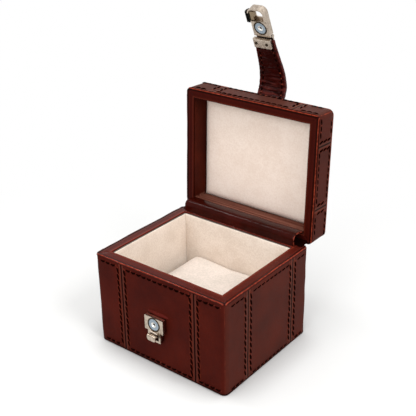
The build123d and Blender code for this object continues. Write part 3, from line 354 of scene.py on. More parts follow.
# across the lid's rim the dark bands at the hollow are painted shade and the lighter ones at the ridge a
# painted highlight; the lid's rim is also painted darker than the base's rim, as painted shade
lid_rim_tones = (
    (0.0, "#1c0604"), (0.025, "#34100a"), (0.045, "#1c0604"), (0.065, "#5e1f13"), (0.095, "#702a1a"),
    (0.13, "#3a1009"), (0.16, "#120302"), (0.28, "#220805"), (0.36, "#40100a"), (0.6, "#380d08"),
    (0.82, "#3c1009"), (0.88, "#5e2316"), (0.94, "#481810"), (0.98, "#2a0b07"), (1.0, "#140403"),
)
lid_rim_leather = leather_finish(
    "rubbed_dark_lid_rim", "#200604", "#3e0f08", "#9c3e28", 0.24, 0.022,
    bands=lid_rim_tones, bead=0.085, rub=0.7, rub_to=0.05,
)
inner_leather = leather_finish(
    "dark_red_calf", "#270703", "#370b06", "#8a3a2a", 0.13, 0.06, edge=0.5, creases=(1.0, 0.25, 0.25),
    crease_size=1.1,
)
strap_leather = leather_finish(
    "glazed_strap_calf", "#220604", "#390b07", "#6a2922", 0.22, 0.085, edge=1.2, rub=0.5,
    creases=(0.16, 1.0, 1.0), crease_size=1.6, grain=1.1,
)
# this leather's worn tone is the colour of the painted reflection below the hinge
band_leather = leather_finish(
    "dark_red_band_calf", "#360f08", "#4a170b", "#7e5042", 0.4, 0.03, painted_reflection_below=75.2
)
# the block's leather is dark as painted shade on its sides, and its copy for the top is lighter, as painted
# light
block_leather = leather_finish("dark_lock_block_calf", "#200805", "#300d08", "#8d3a2c", 0.4, 0.04)
painted_lit_block_top_leather = leather_finish("painted_lit_lock_block_top", "#4e231b", "#64352b", "#8d3a2c", 0.4, 0.04)
# the swell's leather is a lighter copy of the shell's, as painted light on the swell
painted_lit_swell_leather = leather_finish("painted_lit_swell_calf", "#40110c", "#561b15", "#7a3022", 0.4, 0.03)
hump_leather = leather_finish("rubbed_stitch_humps", "#42140d", "#6b2b1f", "#8a4030", 0.4, 0.03)
strap_hump_leather = leather_finish("rubbed_strap_humps", "#3c110a", "#94452c", "#b86240", 0.4, 0.03)
print("leathers:", [m.name for m in bpy.data.materials if "calf" in m.name or "rim" in m.name])

# %% [markdown]
# ## Suede, thread, board and metal
# Suede is the napped inside of the hide: it has no gloss, a faint sheen at its edges, and
# clouds where the nap lies one way or the other. The thread is waxed linen, nearly black.
# The hardware is nickel plated and brushed along its length, the ring magnets have their
# own bluish plating, and the hinge is brass that has gone brown.


# %% Suede finish
def suede_finish(name, shaded, light):
    """Napped suede: matt, cloudy, with a fine fibre."""
    finish, place = new_finish(name)
    nap = add(finish, "TexNoise", cells(place, 14, 6.0, 0.62))
    fibre = add(finish, "TexNoise", cells(place, 1.3, 4.0, 0.75))
    level = add(finish, "MapRange", span(nap, 0.3, 0.7))
    fine = add(finish, "MapRange", span(fibre, 0.3, 0.7, -0.7, 0.7))
    level = add(finish, "Math", {0: level, 1: fine}, operation="ADD", use_clamp=True)
    napped = add(
        finish, "BsdfPrincipled",
        {
            "Base Color": coated(finish, shaded, (level, light)), "Roughness": 0.95, "IOR": 1.35,
            "Sheen Weight": 0.25, "Sheen Roughness": 0.5,
            "Normal": embossed(finish, (nap, 0.25, 1.0), (fibre, 0.45, 0.3)),
        },
    )
    add(finish, "OutputMaterial", {0: napped})
    return finish


cream_suede = suede_finish("cream_pigskin_suede", "#d8c8b9", "#e8dbce")
# the pad's suede is the cream painted lighter, as painted light against the shade in the lid, and the
# cushion's is painted darker, as painted shade against the light from above
painted_light_pad_suede = suede_finish("pale_pad_suede", "#edd9ca", "#f7e6d9")
painted_shade_cushion_suede = suede_finish("pale_cushion_suede", "#c8bdb2", "#dccfc5")
print("suedes:", cream_suede.name, painted_light_pad_suede.name, painted_shade_cushion_suede.name)


# %% Metal, thread and board finishes
def metal_finish(name, dark, light, roughness, brush):
    """Plated metal, brushed along its length, browner in patches of noise."""
    finish, place = new_finish(name)
    drawn = add(finish, "Mapping", {"Vector": place, "Scale": brush})
    lines = add(finish, "TexNoise", cells(drawn, 0.5, 3.0, 0.6))
    tarnish = add(finish, "TexNoise", cells(place, 2.6, 4.0, 0.6))
    stain = add(finish, "MapRange", span(tarnish, 0.25, 0.6))
    rough = add(finish, "MapRange", span(lines, 0.3, 0.7, roughness - 0.06, roughness + 0.1))
    plated = add(
        finish, "BsdfPrincipled",
        {
            "Base Color": coated(finish, dark, (stain, light)), "Metallic": 1.0, "Roughness": rough,
            "Normal": embossed(finish, (lines, 0.25, 0.1)),
        },
    )
    add(finish, "OutputMaterial", {0: plated})
    return finish


def catch_finish(name, hood_side, rib):
    """Bronze inside the hood and blackened outside it, with painted highlights on the edges of the ribs."""
    finish, place = new_finish(name)
    spot = add(finish, "SeparateXYZ", {0: place})
    inside = add(finish, "MapRange", span(spot.outputs["X"], (hood_side - 0.3) * MM, hood_side * MM))
    turn = add(finish, "Math", {0: spot.outputs["X"], 1: 2 * math.pi * every(rib)}, operation="MULTIPLY")
    wave = add(finish, "Math", {0: turn}, operation="SINE")
    # painted highlight: a thin light line on each rib
    painted_rib_highlight = add(finish, "MapRange", span(wave, 0.75, 1.0, high=0.7))
    colour = coated(finish, "#0d0a08", (painted_rib_highlight, "#8a7a62"), (inside, "#8c7b64"))
    plated = add(finish, "BsdfPrincipled", {"Base Color": colour, "Metallic": 1.0, "Roughness": 0.32})
    add(finish, "OutputMaterial", {0: plated})
    return finish


def plain_fibre_finish(name, dark, light, size, roughness):
    """Twisted thread or pressed board: two tones in a fine fibre pattern, and no gloss."""
    finish, place = new_finish(name)
    fibre = add(finish, "TexNoise", cells(place, size, 3.0, 0.6))
    level = add(finish, "MapRange", span(fibre, 0.35, 0.65))
    matt = add(
        finish, "BsdfPrincipled",
        {
            "Base Color": coated(finish, dark, (level, light)), "Roughness": roughness,
            "Specular IOR Level": 0.0, "Normal": embossed(finish, (fibre, 0.5, 0.2)),
        },
    )
    add(finish, "OutputMaterial", {0: matt})
    return finish


along_z, along_x, no_way = (1.0, 1.0, 0.12), (0.12, 1.0, 1.0), (1.0, 1.0, 1.0)
nickel = metal_finish("brushed_satin_nickel", "#958676", "#bfb1a2", 0.28, along_z)
dark_nickel = metal_finish("blackened_nickel", "#15110e", "#4a3f33", 0.34, along_z)
catch_metal = catch_finish("blackened_bronze_catch", -6.2, 1.0)
magnet_plate = metal_finish("zinc_plated_magnet", "#78848f", "#97a4af", 0.2, no_way)
bright_rivet = metal_finish("bright_nickel_rivet", "#c9c5bd", "#eceae4", 0.2, no_way)
brass = metal_finish("browned_brass", "#43321d", "#74592f", 0.4, along_x)
thread = plain_fibre_finish("black_waxed_linen", "#080201", "#1a0604", 0.5, 0.4)
grey_board = plain_fibre_finish("pressed_grey_board", "#6d675f", "#8a8378", 0.6, 0.9)
print("metals:", [m.name for m in (nickel, dark_nickel, magnet_plate, bright_rivet, brass)])

# %% [markdown]
# ## How a piece leaves the bench
# Every new piece is a bmesh worked in millimetres. The last helper stands it in its place,
# scales it to metres, shades it smooth except across real corners, hangs it on its CAD
# body and hides the CAD solids that it stands for. The noise is what makes the work look
# hand made: neighbours share one noise field, so their joints still meet.

# %% Bench helpers
far_away = 50.0


def plate(half_x, half_y):
    """A new bmesh with one flat face, twice as wide and long as these."""
    bm = bmesh.new()
    bmesh.ops.create_grid(bm, x_segments=1, y_segments=1, size=1.0)
    bmesh.ops.scale(bm, vec=(half_x, half_y, 1), verts=bm.verts)
    return bm


def box_block(size, middle):
    """A new bmesh with a plain box."""
    bm = bmesh.new()
    bmesh.ops.create_cube(bm, size=1.0)
    bmesh.ops.scale(bm, vec=size, verts=bm.verts)
    bmesh.ops.translate(bm, vec=middle, verts=bm.verts)
    return bm


def draw(bm, points, closed=False):
    """A line of edges through some points; gives its edges and its points."""
    line = [bm.verts.new(p) for p in points]
    return [bm.edges.new(pair) for pair in zip(line, line[1:] + line[: int(closed)])], line


def pull(bm, edges, move=(0, 0, 0)):
    """Pulls new faces out of a line of edges; gives the far edges and their points."""
    made = bmesh.ops.extrude_edge_only(bm, edges=edges)["geom"]
    points = [g for g in made if isinstance(g, bmesh.types.BMVert)]
    bmesh.ops.translate(bm, vec=move, verts=points)
    return [g for g in made if isinstance(g, bmesh.types.BMEdge)], points


def wide_sheet(half, line):
    """A new bmesh with a folded sheet: its line, seen from the end, pulled out across X."""
    bm = bmesh.new()
    pull(bm, draw(bm, [(-half, y, z) for y, z in line])[0], (2 * half, 0, 0))
    return bm


def cut(bm, spot, way):
    """Cuts the whole mesh through a point, square to a direction."""
    geom = bm.verts[:] + bm.edges[:] + bm.faces[:]
    bmesh.ops.bisect_plane(bm, geom=geom, dist=1e-4, plane_co=spot, plane_no=way)


def cut_every(bm, axis, places):
    """Cuts the whole mesh at these places along one axis."""
    way = Vector([1.0 if i == axis else 0.0 for i in range(3)])
    for spot in places:
        cut(bm, way * spot, way)


def steps(start, stop, about):
    """Evenly spaced places between two ends, about that far apart."""
    count = max(1, round((stop - start) / about))
    return [start + (stop - start) * i / count for i in range(1, count)]


def cut_grid(bm, half_x, half_y, about):
    """Cuts a plate into squares of about that size."""
    cut_every(bm, 0, steps(-half_x, half_x, about))
    cut_every(bm, 1, steps(-half_y, half_y, about))


def take_out(bm, unwanted):
    """Deletes the faces whose middles pass the test."""
    gone = [f for f in bm.faces if unwanted(f.calc_center_median())]
    bmesh.ops.delete(bm, geom=gone, context="FACES")


def turn_over(bm, wrong):
    """Turns over the faces whose normals look the wrong way."""
    bm.normal_update()
    for f in bm.faces:
        if wrong(f.normal, f.calc_center_median()):
            f.normal_flip()


def close_up(bm):
    """Fills the open ends of a piece and turns all its faces outwards."""
    bmesh.ops.holes_fill(bm, edges=[e for e in bm.edges if e.is_boundary])
    bmesh.ops.recalc_face_normals(bm, faces=bm.faces[:])


def round_over(bm, geom, offset, segments, affect="EDGES", clamp=True):
    """Rounds some edges, or the corners at some points."""
    bmesh.ops.bevel(
        bm, geom=geom, offset=offset, offset_type="OFFSET", segments=segments, profile=0.5, affect=affect,
        material=-1, clamp_overlap=clamp,
    )


def hand_work(bm, amount, size):
    """Moves every point by a smooth noise, as hand work never lies dead flat."""
    for v in bm.verts:
        v.co += noise.noise_vector(v.co / size) * amount


def thicken(bm, thickness, edge_round):
    """Gives a sheet its thickness inwards and rounds its cut edges."""
    bmesh.ops.solidify(bm, geom=bm.faces[:], thickness=thickness)
    bmesh.ops.recalc_face_normals(bm, faces=bm.faces[:])
    sharp = [e for e in bm.edges if len(e.link_faces) == 2 and e.calc_face_angle() > math.radians(55)]
    round_over(bm, sharp, edge_round, 2)


def set_tooling(bm, measure):
    """Keeps three distances in millimetres on every point, for the leather's finish."""
    layer = bm.verts.layers.float_vector.new("tooling")
    for v in bm.verts:
        v[layer] = measure(v.co)


def finish_piece(name, bm, material, body, place=None, stands_for=(), sharp=38):
    """Turns a bmesh in millimetres into a placed, shaded piece on a CAD body."""
    bmesh.ops.transform(bm, matrix=Matrix.Scale(MM, 4) @ (place or Matrix()), verts=bm.verts)
    mesh = bpy.data.meshes.new(name)
    bm.to_mesh(mesh)
    bm.free()
    mesh.polygons.foreach_set("use_smooth", [True] * len(mesh.polygons))
    mesh.set_sharp_from_angle(angle=math.radians(sharp))
    mesh.materials.append(material)
    piece = stand(name, mesh)
    if body:
        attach(piece, body)
    if stands_for:
        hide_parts(*stands_for)
    print(f"{name}: {len(mesh.polygons)} faces")
    return piece


# the lid's own frame: X to the left, Y from the hinge to its free edge, Z out of its top
lean, upright = 0.0384, 0.99926
lid_axes = Matrix(((-1, 0, 0), (0, lean, upright), (0, upright, -lean))).transposed().to_4x4()
lid_place = Matrix.Translation((0, 49.851, 67.268)) @ lid_axes
print("the lid leans back", round(math.degrees(math.atan2(lean, upright)), 1), "degrees")

# %% [markdown]
# ## The shell: panels and corner wraps
# The outside of the box is eight pieces of leather: a panel in the middle of each side and
# a wrap round each corner, butted together and sewn on both sides of the joint. Each is
# drawn as its bottom line, pulled up by extruding, rounded at the corner with a bevel and
# given thickness. The lid is the same work, only lower, so one function makes both.

# %% Panels and wraps
shell_half_width, corner_radius, leather_thickness = 55.0, 4.0, 1.3
shell_cell = 4.5


def leather_skin(path, levels, middle_y, place, body, part, measure, notch):
    """One piece of the shell, from its line on the ground and its heights."""
    bm = bmesh.new()
    edges, _ = draw(bm, [(x, y, levels[0]) for x, y in path])
    for low, high in zip(levels, levels[1:]):
        edges, _ = pull(bm, edges, (0, 0, high - low))
    for corner in path[1:-1]:
        at_corner = [e for e in bm.edges if all((v.co.xy - Vector(corner)).length < 1e-3 for v in e.verts)]
        round_over(bm, at_corner, corner_radius, 8, clamp=False)
    xs, ys = [p[0] for p in path], [p[1] for p in path]
    if len(path) > 2:
        # the arc is fine enough already, so only the flats are cut
        flat_end = shell_half_width - corner_radius
        xs = [x if abs(x) < flat_end else math.copysign(flat_end, x) for x in xs]
    cut_every(bm, 0, steps(min(xs), max(xs), shell_cell))
    cut_every(bm, 1, steps(min(ys) + 0.01, max(ys) - 0.01, shell_cell))
    cut_every(bm, 2, steps(levels[0], levels[-1], shell_cell))
    if notch:
        take_out(bm, notch)
    middle = Vector((0, middle_y, (levels[0] + levels[-1]) / 2))
    turn_over(bm, lambda normal, c: normal.dot(c - middle) < 0)
    hand_work(bm, 0.28, 11)
    thicken(bm, leather_thickness, 0.55)
    set_tooling(bm, measure)
    skin = shell_leather if body == "base" else lid_leather
    finish_piece(f"{body}_{part}_leather", bm, skin, body, place, [f"{body}_{part}"])


def shell(body, place, low_y, high_y, height, seam_x, side_seams, rows, room=None, notch=None):
    """Eight skins round a box, each named for its side."""
    half, half_y, middle_y = shell_half_width, (high_y - low_y) / 2, (low_y + high_y) / 2
    skin_depth = leather_thickness + 0.6

    def measure(co):
        on_end = min(abs(co.y - low_y), abs(co.y - high_y)) < skin_depth
        seams = [far_away]
        if on_end:
            seams.append(abs(abs(co.x) - seam_x))
        if half - abs(co.x) < skin_depth:
            seams += [abs(co.y - seam) for seam in side_seams]
        round_x = abs(co.x) - half + corner_radius
        round_y = abs(co.y - middle_y) - half_y + corner_radius
        to_corner = 20.0
        if round_x > 0 and round_y > 0:
            to_corner = abs(math.atan2(round_y, round_x) - math.pi / 4) * corner_radius
        low_row, high_row = rows[0] if on_end else rows[1]
        to_row = min(abs(co.z - low_row), abs(height - co.z - high_row))
        return Vector((min(seams), to_row, to_corner + 0.15))

    front, back, right, left = ("front", "back", "right", "left")
    if body == "lid":
        front, back, right, left = (back, front, left, right)
    side_low, side_high = side_seams
    runs = {
        f"{front}_panel": [(-seam_x, low_y), (seam_x, low_y)],
        f"{right}_panel": [(half, side_low), (half, side_high)],
        f"{back}_panel": [(seam_x, high_y), (-seam_x, high_y)],
        f"{left}_panel": [(-half, side_high), (-half, side_low)],
        f"{front}_{right}_wrap": [(seam_x, low_y), (half, low_y), (half, side_low)],
        f"{back}_{right}_wrap": [(half, side_high), (half, high_y), (seam_x, high_y)],
        f"{back}_{left}_wrap": [(-seam_x, high_y), (-half, high_y), (-half, side_high)],
        f"{front}_{left}_wrap": [(-half, side_low), (-half, low_y), (-seam_x, low_y)],
    }
    low_z, high_z = leather_thickness, height - leather_thickness
    for part, path in runs.items():
        at_hinge = room and part.startswith("back")
        levels = [low_z, high_z]
        if at_hinge:
            levels = [low_z, room] if part == "back_panel" else [low_z, room, high_z]
        leather_skin(path, levels, middle_y, place, body, part, measure, notch if at_hinge else None)


base_front, base_back, base_high = -47.0, 47.0, 69.0
lid_length, lid_height = 92.0, 19.0
# how far the rows are from the low and the high edge, on the ends and on the sides
base_rows, lid_rows = ((4.0, 3.3), (3.0, 4.2)), ((3.1, 3.1), (3.1, 3.1))
# a box's two ends, its height, the seams on its ends and on its sides, and its rows
base_box = (base_front, base_back, base_high, 30.8, (-23.0, 27.6), base_rows)
lid_box = (0.0, lid_length, lid_height, 33.0, (25.2, 70.0), lid_rows)
hinge_room = 63.4
shell("base", Matrix(), *base_box, hinge_room, lambda c: c.z > hinge_room and abs(c.x) < 52.4 and c.y > 42)
shell("lid", lid_place, *lid_box)

# %% [markdown]
# ## Mitred rims
# Each rim is one strip of leather folded over the board's edge and mitred at its corners.
# It starts as a flat plate, cut along the opening, the mitres and the hinge's bay, and its
# middle is taken out. The points are then raised by how far they are from the edges, which
# gives the soft crown, and the mitres are pressed in.

# %% Rims
base_wall, lid_wall, rim_overhang = 8.5, 7.0, 0.15
rim_sunk, mitre_depth, bead_width, scallop = 0.45, 0.3, 1.2, 0.14


def crown(from_out, wall):
    """Height across a rim: a bead outside, a hollow, a flat middle and a ridge inside."""
    line = (
        (0.0, -0.75), (0.25, -0.1), (0.6, 0.3), (1.0, 0.4), (1.35, 0.24), (1.7, 0.02), (2.2, 0.1), (3.0, 0.2),
        (wall - 2.0, 0.2), (wall - 1.4, 0.28), (wall - 0.9, 0.42), (wall - 0.4, 0.3), (wall, -0.1),
        (wall + 9, -0.1),
    )
    for (a, low), (b, high) in zip(line, line[1:]):
        if from_out <= b:
            return low + (high - low) * max(0, from_out - a) / (b - a)
    return line[-1][1]


def mitred_rim(body, material, low_y, high_y, wall, top_z, facing, place, bay=None):
    """A crowned frame of leather with mitred corners; facing is 1 up and -1 down."""
    half, middle_y = shell_half_width + rim_overhang, (low_y + high_y) / 2
    half_y, wall = (high_y - low_y) / 2 + rim_overhang, wall + rim_overhang
    bm = plate(half, half_y)
    for sign_y in (1, -1):
        corner = Vector((half, sign_y * half_y, 0))
        for end in (corner, -corner):
            cut(bm, end, Vector((-sign_y, 1, 0)).normalized())
    profile = (0.25, 0.6, 1.0, 1.35, 1.7, 2.2, 3.0, wall / 2)
    profile += (wall - 2.0, wall - 1.4, wall - 0.9, wall - 0.4, wall)
    for axis, reach in ((0, half), (1, half_y)):
        lines = [side * (reach - d) for d in profile for side in (-1, 1)]
        cut_every(bm, axis, lines + steps(-reach + wall, reach - wall, 5))
    take_out(bm, lambda c: abs(c.x) < half - wall and abs(c.y) < half_y - wall)
    if bay:
        bay_half, bay_low = bay
        cut_every(bm, 1, [bay_low - middle_y])
        cut_every(bm, 0, [-bay_half, bay_half])
        take_out(bm, lambda c: abs(c.x) < bay_half and c.y > bay_low - middle_y)
    for v in bm.verts:
        from_x, from_y = half - abs(v.co.x), half_y - abs(v.co.y)
        from_out = min(from_x, from_y)
        v.co.z = crown(from_out, wall) - (mitre_depth if abs(from_x - from_y) < 0.05 else 0)
        if from_out < bead_width:
            # the thread below draws the outer bead into small scallops
            v.co.z -= scallop + scallop * math.cos((v.co.x + v.co.y) * 2 * math.pi / stitch_pitch)
        over = Vector((corner_radius - from_x, corner_radius - from_y))
        if over.x > 0 and over.y > 0 and over.length > corner_radius - from_out:
            over = over.normalized() * max(0.01, corner_radius - from_out)
            v.co.x = math.copysign(half - corner_radius + over.x, v.co.x)
            v.co.y = math.copysign(half_y - corner_radius + over.y, v.co.y)
    bmesh.ops.translate(bm, vec=(0, middle_y, top_z - rim_sunk), verts=bm.verts)
    if facing < 0:
        for v in bm.verts:
            v.co.z = 2 * top_z - v.co.z
    turn_over(bm, lambda normal, c: normal.z * facing < 0)
    hand_work(bm, 0.15, 9)
    thicken(bm, leather_thickness - 0.3, 0.3)

    def measure(co):
        from_out = min(half - abs(co.x), half_y - abs(co.y - middle_y))
        return Vector((min(1.0, max(0.0, from_out / wall)), far_away, 9.0))

    set_tooling(bm, measure)
    finish_piece(body + "_rim", bm, material, body, place, [body + "_rim_leather"], sharp=60)


mitred_rim("base", rim_leather, base_front, base_back, base_wall, base_high, 1, Matrix(), bay=(52.3, 42.4))
mitred_rim("lid", lid_rim_leather, 0.0, lid_length, lid_wall, 0.0, -1, lid_place)

# %% [markdown]
# ## The lid's outer leather
# The top of the lid is one sheet. It is a plate with bevelled corners, cut into a grid and
# moved a little by hand work.

# %% Top leather of the lid
lid_middle = lid_length / 2
bm = plate(shell_half_width, lid_middle)
round_over(bm, bm.verts[:], corner_radius, 6, affect="VERTICES")
cut_grid(bm, shell_half_width, lid_middle, 5)
bmesh.ops.translate(bm, vec=(0, lid_middle, lid_height - 0.1), verts=bm.verts)
hand_work(bm, 0.12, 14)
thicken(bm, leather_thickness - 0.1, 0.6)
set_tooling(
    bm, lambda co: Vector((far_away, far_away, min(shell_half_width - abs(co.x), co.y, lid_length - co.y)))
)
finish_piece("lid_top_sheet", bm, lid_leather, "lid", lid_place, ["lid_top_leather"])

# %% [markdown]
# ## Suede lining
# The four walls and the floor of the base are thin boards wrapped in suede. Each is a box
# scaled to size with every edge rounded, and the roundings of the top edges are what
# catches the light along the opening.

# %% Lining boards
for side in ("front", "back", "left", "right", "floor"):
    node = f"base_{side}_lining"
    low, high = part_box(node)
    low, high = low / MM, high / MM
    size = high - low
    bm = box_block(size, (low + high) / 2)
    round_over(bm, bm.edges[:], 0.45, 3)
    for axis in range(3):
        if size[axis] > 12:
            cut_every(bm, axis, steps(low[axis] + 1, high[axis] - 1, 6))
    hand_work(bm, 0.12, 16)
    finish_piece(node + "_suede", bm, cream_suede, "base", None, [node])

# %% [markdown]
# ## The watch cushion
# The cushion is a foam block pulled tight in suede. A rounded block is remeshed into even
# small faces, and Blender's cloth blows it up a little with pressure, with the gravity
# off and its underside held. Its movement is capped so that it can't touch the walls.


# %% Cushion by cloth simulation
def keep_result(piece):
    """Gives a piece the mesh that its modifiers make."""
    graph = bpy.context.evaluated_depsgraph_get()
    mesh = bpy.data.meshes.new_from_object(piece.evaluated_get(graph))
    piece.modifiers.clear()
    piece.data = mesh
    return mesh


def blow_up(piece, voxel, pressure, cap, held):
    """Remeshes a closed piece, presses it out as cloth and keeps the result."""
    remesh = piece.modifiers.new("even_faces", "REMESH")
    remesh.mode, remesh.voxel_size = "VOXEL", voxel * MM
    mesh = keep_result(piece)
    before = [v.co.copy() for v in mesh.vertices]
    pins = piece.vertex_groups.new(name="held")
    pins.add([v.index for v in mesh.vertices if held(v.co / MM)], 1.0, "REPLACE")
    cloth = piece.modifiers.new("press_out", "CLOTH")
    cloth.settings.use_pressure = True
    cloth.settings.uniform_pressure_force = pressure
    cloth.settings.effector_weights.gravity = 0
    cloth.settings.vertex_group_mass = "held"
    cloth.settings.tension_stiffness = 25
    for step in range(1, 21):
        bpy.context.scene.frame_set(step)
    mesh = keep_result(piece)
    for vertex, start in zip(mesh.vertices, before):
        move = vertex.co - start
        if move.length > cap * MM:
            vertex.co = start + move.normalized() * cap * MM
    bpy.context.scene.frame_set(1)
    piece.vertex_groups.clear()
    bm = bmesh.new()
    bm.from_mesh(mesh)
    bmesh.ops.smooth_vert(bm, verts=bm.verts, factor=0.4, use_axis_x=True, use_axis_y=True, use_axis_z=True)
    bmesh.ops.subdivide_edges(bm, edges=bm.edges[:], cuts=1, smooth=0.6, use_grid_fill=True)
    bm.to_mesh(mesh)
    bm.free()
    mesh.polygons.foreach_set("use_smooth", [True] * len(mesh.polygons))
    print(f"{piece.name}: {len(mesh.polygons)} faces after the cloth")


def rise(edge):
    """The difference in height between an edge's two ends."""
    return abs(edge.verts[0].co.z - edge.verts[1].co.z)


low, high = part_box("watch_cushion")
low, high = low / MM, high / MM
cushion_size = (high.x - low.x - 0.6, high.y - low.y - 0.5, high.z - low.z + 1.0)
bm = box_block(cushion_size, (0, 0, (low.z + high.z) / 2 + 0.5))
round_over(bm, [e for e in bm.edges if rise(e) > 1], 3.6, 5)
round_over(bm, [e for e in bm.edges if rise(e) < 1e-3 and e.calc_face_angle(0) > 1], 1.7, 3)
cushion = finish_piece("cushion", bm, painted_shade_cushion_suede, "base", None, ["watch_cushion"])
blow_up(cushion, 2.6, 4.0, 1.2, lambda co: co.z < low.z + 1.5)

# %% [markdown]
# ## The lid's pad
# In the lid a thin pad is pressed into the recess. It is too thin for the cloth, so it is
# worked directly: a plate is cut into a grid, its face is raised in the middle and drawn
# down towards the edge, as suede over wadding is, and its back is closed.

# %% Pad in the lid
pad_half_x, pad_low, pad_high, pad_face, pad_back = 47.7, 7.4, 84.6, 12.0, 15.2
pad_half_y = (pad_high - pad_low) / 2
bm = plate(pad_half_x, pad_half_y)
cut_grid(bm, pad_half_x, pad_half_y, 2.4)
for v in bm.verts:
    to_edge = min(pad_half_x - abs(v.co.x), pad_half_y - abs(v.co.y))
    swell = 1 - math.exp(-to_edge / 1.6)
    bulge = 0.9 * (1 - math.exp(-to_edge / 14))
    v.co.z = (pad_back - 0.2) - (pad_back - 0.4 - pad_face) * swell - bulge - 0.2 * noise.noise(v.co / 17)
bmesh.ops.translate(bm, vec=(0, (pad_high + pad_low) / 2, 0), verts=bm.verts)
turn_over(bm, lambda normal, c: normal.z > 0)
_, skirt = pull(bm, [e for e in bm.edges if e.is_boundary])
for v in skirt:
    v.co.z = pad_back
close_up(bm)
lid_pad = finish_piece("lid_padding", bm, painted_light_pad_suede, "lid", lid_place, ["lid_pad"], sharp=60)

# %% [markdown]
# ## The leather roll over the hinge
# A strip of leather bows from the back of the base into the lid and hides the hinge. It is
# drawn as a folded sheet seen from its end, its folds are rounded by a bevel, and it is
# cut across its length so that small creases can be pressed in.

# %% Roll
roll_half, roll_thickness, roll_bend = 47.5, 1.2, 3.9
roll_line = ((39.1, 69.3), (39.1, 77.4), (47.3, 77.4), (52.85, 75.06))
bm = wide_sheet(roll_half, roll_line)
folds = [e for e in bm.edges if len(e.link_faces) == 2 and abs(e.verts[0].co.x - e.verts[1].co.x) > 1]
round_over(bm, folds, roll_bend, 7)
cut_every(bm, 0, steps(-roll_half, roll_half, 1.6))
cut_every(bm, 2, [70.5, 71.8, 73.0])
turn_over(bm, lambda normal, c: normal.dot(c - Vector((c.x, 46, 70))) < 0)
for v in bm.verts:
    crease = 0.07 * noise.noise(Vector((v.co.x / 2.2, v.co.y / 6, v.co.z / 6)))
    v.co += v.normal * (crease + 0.25 * noise.noise(v.co / 15))
thicken(bm, roll_thickness, 0.4)
set_tooling(bm, lambda co: Vector((0.08, far_away, roll_half - abs(co.x))))
roll = finish_piece(
    "hinge_cover_roll", bm, inner_leather, None, None, ["hinge_roll"], sharp=60
)
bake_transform(roll)

# %% [markdown]
# Under the roll a strip of black cloth runs over the hinge's barrel from end to end. Only
# its ends show: they put painted shade in the dark corners beside the roll.

# %% Cloth over the barrel
cloth_half = 51.8
cloth_line = ((43.1, 67.6), (44.6, 69.0), (48.2, 69.1), (49.7, 70.6))
bm = wide_sheet(cloth_half, cloth_line)
cut_every(bm, 0, steps(-cloth_half, cloth_half, 4))
turn_over(bm, lambda normal, c: normal.z < 0)
bmesh.ops.solidify(bm, geom=bm.faces[:], thickness=0.4)
# the cloth takes the black thread's finish, as painted shade in the corners
painted_shade_cloth = finish_piece("hinge_cloth", bm, thread, None, sharp=30)
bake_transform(painted_shade_cloth)

# %% [markdown]
# ## The strap
# The strap is sewn to the top of the lid, bows up over its front edge and narrows towards
# the hasp. A line across the strap is extruded row by row along that bow, so the rows are
# close enough for the creases that a strap gets where it is bent every day. Its sewn end
# on the lid is a flat tail with two rounded corners.

# %% Strap
strap_line = (
    (74.0, 20.1), (78.6, 20.53), (83.0, 22.0), (87.0, 24.4), (90.8, 27.0), (95.2, 28.45), (99.8, 28.3),
    (104.4, 27.47), (108.8, 26.06), (113.1, 24.27), (117.3, 22.26), (121.4, 20.18), (125.6, 18.11),
    (131.0, 15.5),
)
strap_root, strap_end, strap_thickness = 22.0, 16.2, 2.2
narrow_from, narrow_run = 96.2, 29.4
sharpest_bend, bend_reach = 88, 15


def half_strap(along):
    """Half the strap's width, at a distance from the hinge."""
    narrow = min(1, max(0, (along - narrow_from) / narrow_run))
    return (strap_root + (strap_end - strap_root) * narrow) / 2


def on_line(points, t):
    """A point at t from 0 to 1 along a line of points, rounded between them."""
    spot = t * (len(points) - 1)
    i = min(int(spot), len(points) - 2)
    a, b, c, d = (Vector(points[max(0, min(len(points) - 1, j))]) for j in (i - 1, i, i + 1, i + 2))
    u = spot - i
    return 0.5 * (2 * b + (c - a) * u + (2 * a - 5 * b + 4 * c - d) * u**2 + (3 * b - a - 3 * c + d) * u**3)


rows, columns = 84, 12
across = [i / columns - 0.5 for i in range(columns + 1)]
bm = bmesh.new()
edges, line = draw(bm, [(x, 0, 0) for x in across])
for row in range(rows + 1):
    along, height = on_line(strap_line, row / rows)
    ahead = on_line(strap_line, min(1, row / rows + 0.01)) - on_line(strap_line, max(0, row / rows - 0.01))
    square = Vector((-ahead.y, ahead.x)).normalized()
    bent = math.exp(-(((along - sharpest_bend) / bend_reach) ** 2)) + 0.25
    if row:
        edges, line = pull(bm, edges)
        line.sort(key=lambda v: v.co.x)
    for share, v in zip(across, line):
        x = share * 2 * half_strap(along)
        crease = bent * 0.85 * noise.noise(Vector((x / 9, along / 1.5, 3.7)))
        crease += 0.3 * noise.noise(Vector((x / 7, along / 8, 1.1)))
        lift = strap_thickness / 2 - 0.25 + crease * 0.7
        v.co = Vector((x, along + square.x * lift, height + square.y * lift))
turn_over(bm, lambda normal, c: normal.z < 0)
thicken(bm, strap_thickness - 0.3, 0.5)
set_tooling(
    bm,
    lambda co: Vector((
        0.12 + 0.88 * math.exp(-(max(0, co.y - 92) / 15) ** 2), far_away, half_strap(co.y) - abs(co.x),
    )),
)
strap = finish_piece(
    "closing_strap", bm, strap_leather, None, lid_place, ["strap"], sharp=50
)
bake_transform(strap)

# %% Tail of the strap
tail_low, tail_high, tail_corner = 48.0, 74.0, 8.0
tail_half_x, tail_half_y = strap_root / 2, (tail_high - tail_low) / 2
bm = plate(tail_half_x, tail_half_y)
round_over(bm, [v for v in bm.verts if v.co.y < 0], tail_corner, 8, affect="VERTICES")
cut_grid(bm, tail_half_x, tail_half_y, 3)
tail_middle = (0, (tail_low + tail_high) / 2, lid_height + strap_thickness - 0.1)
bmesh.ops.translate(bm, vec=tail_middle, verts=bm.verts)
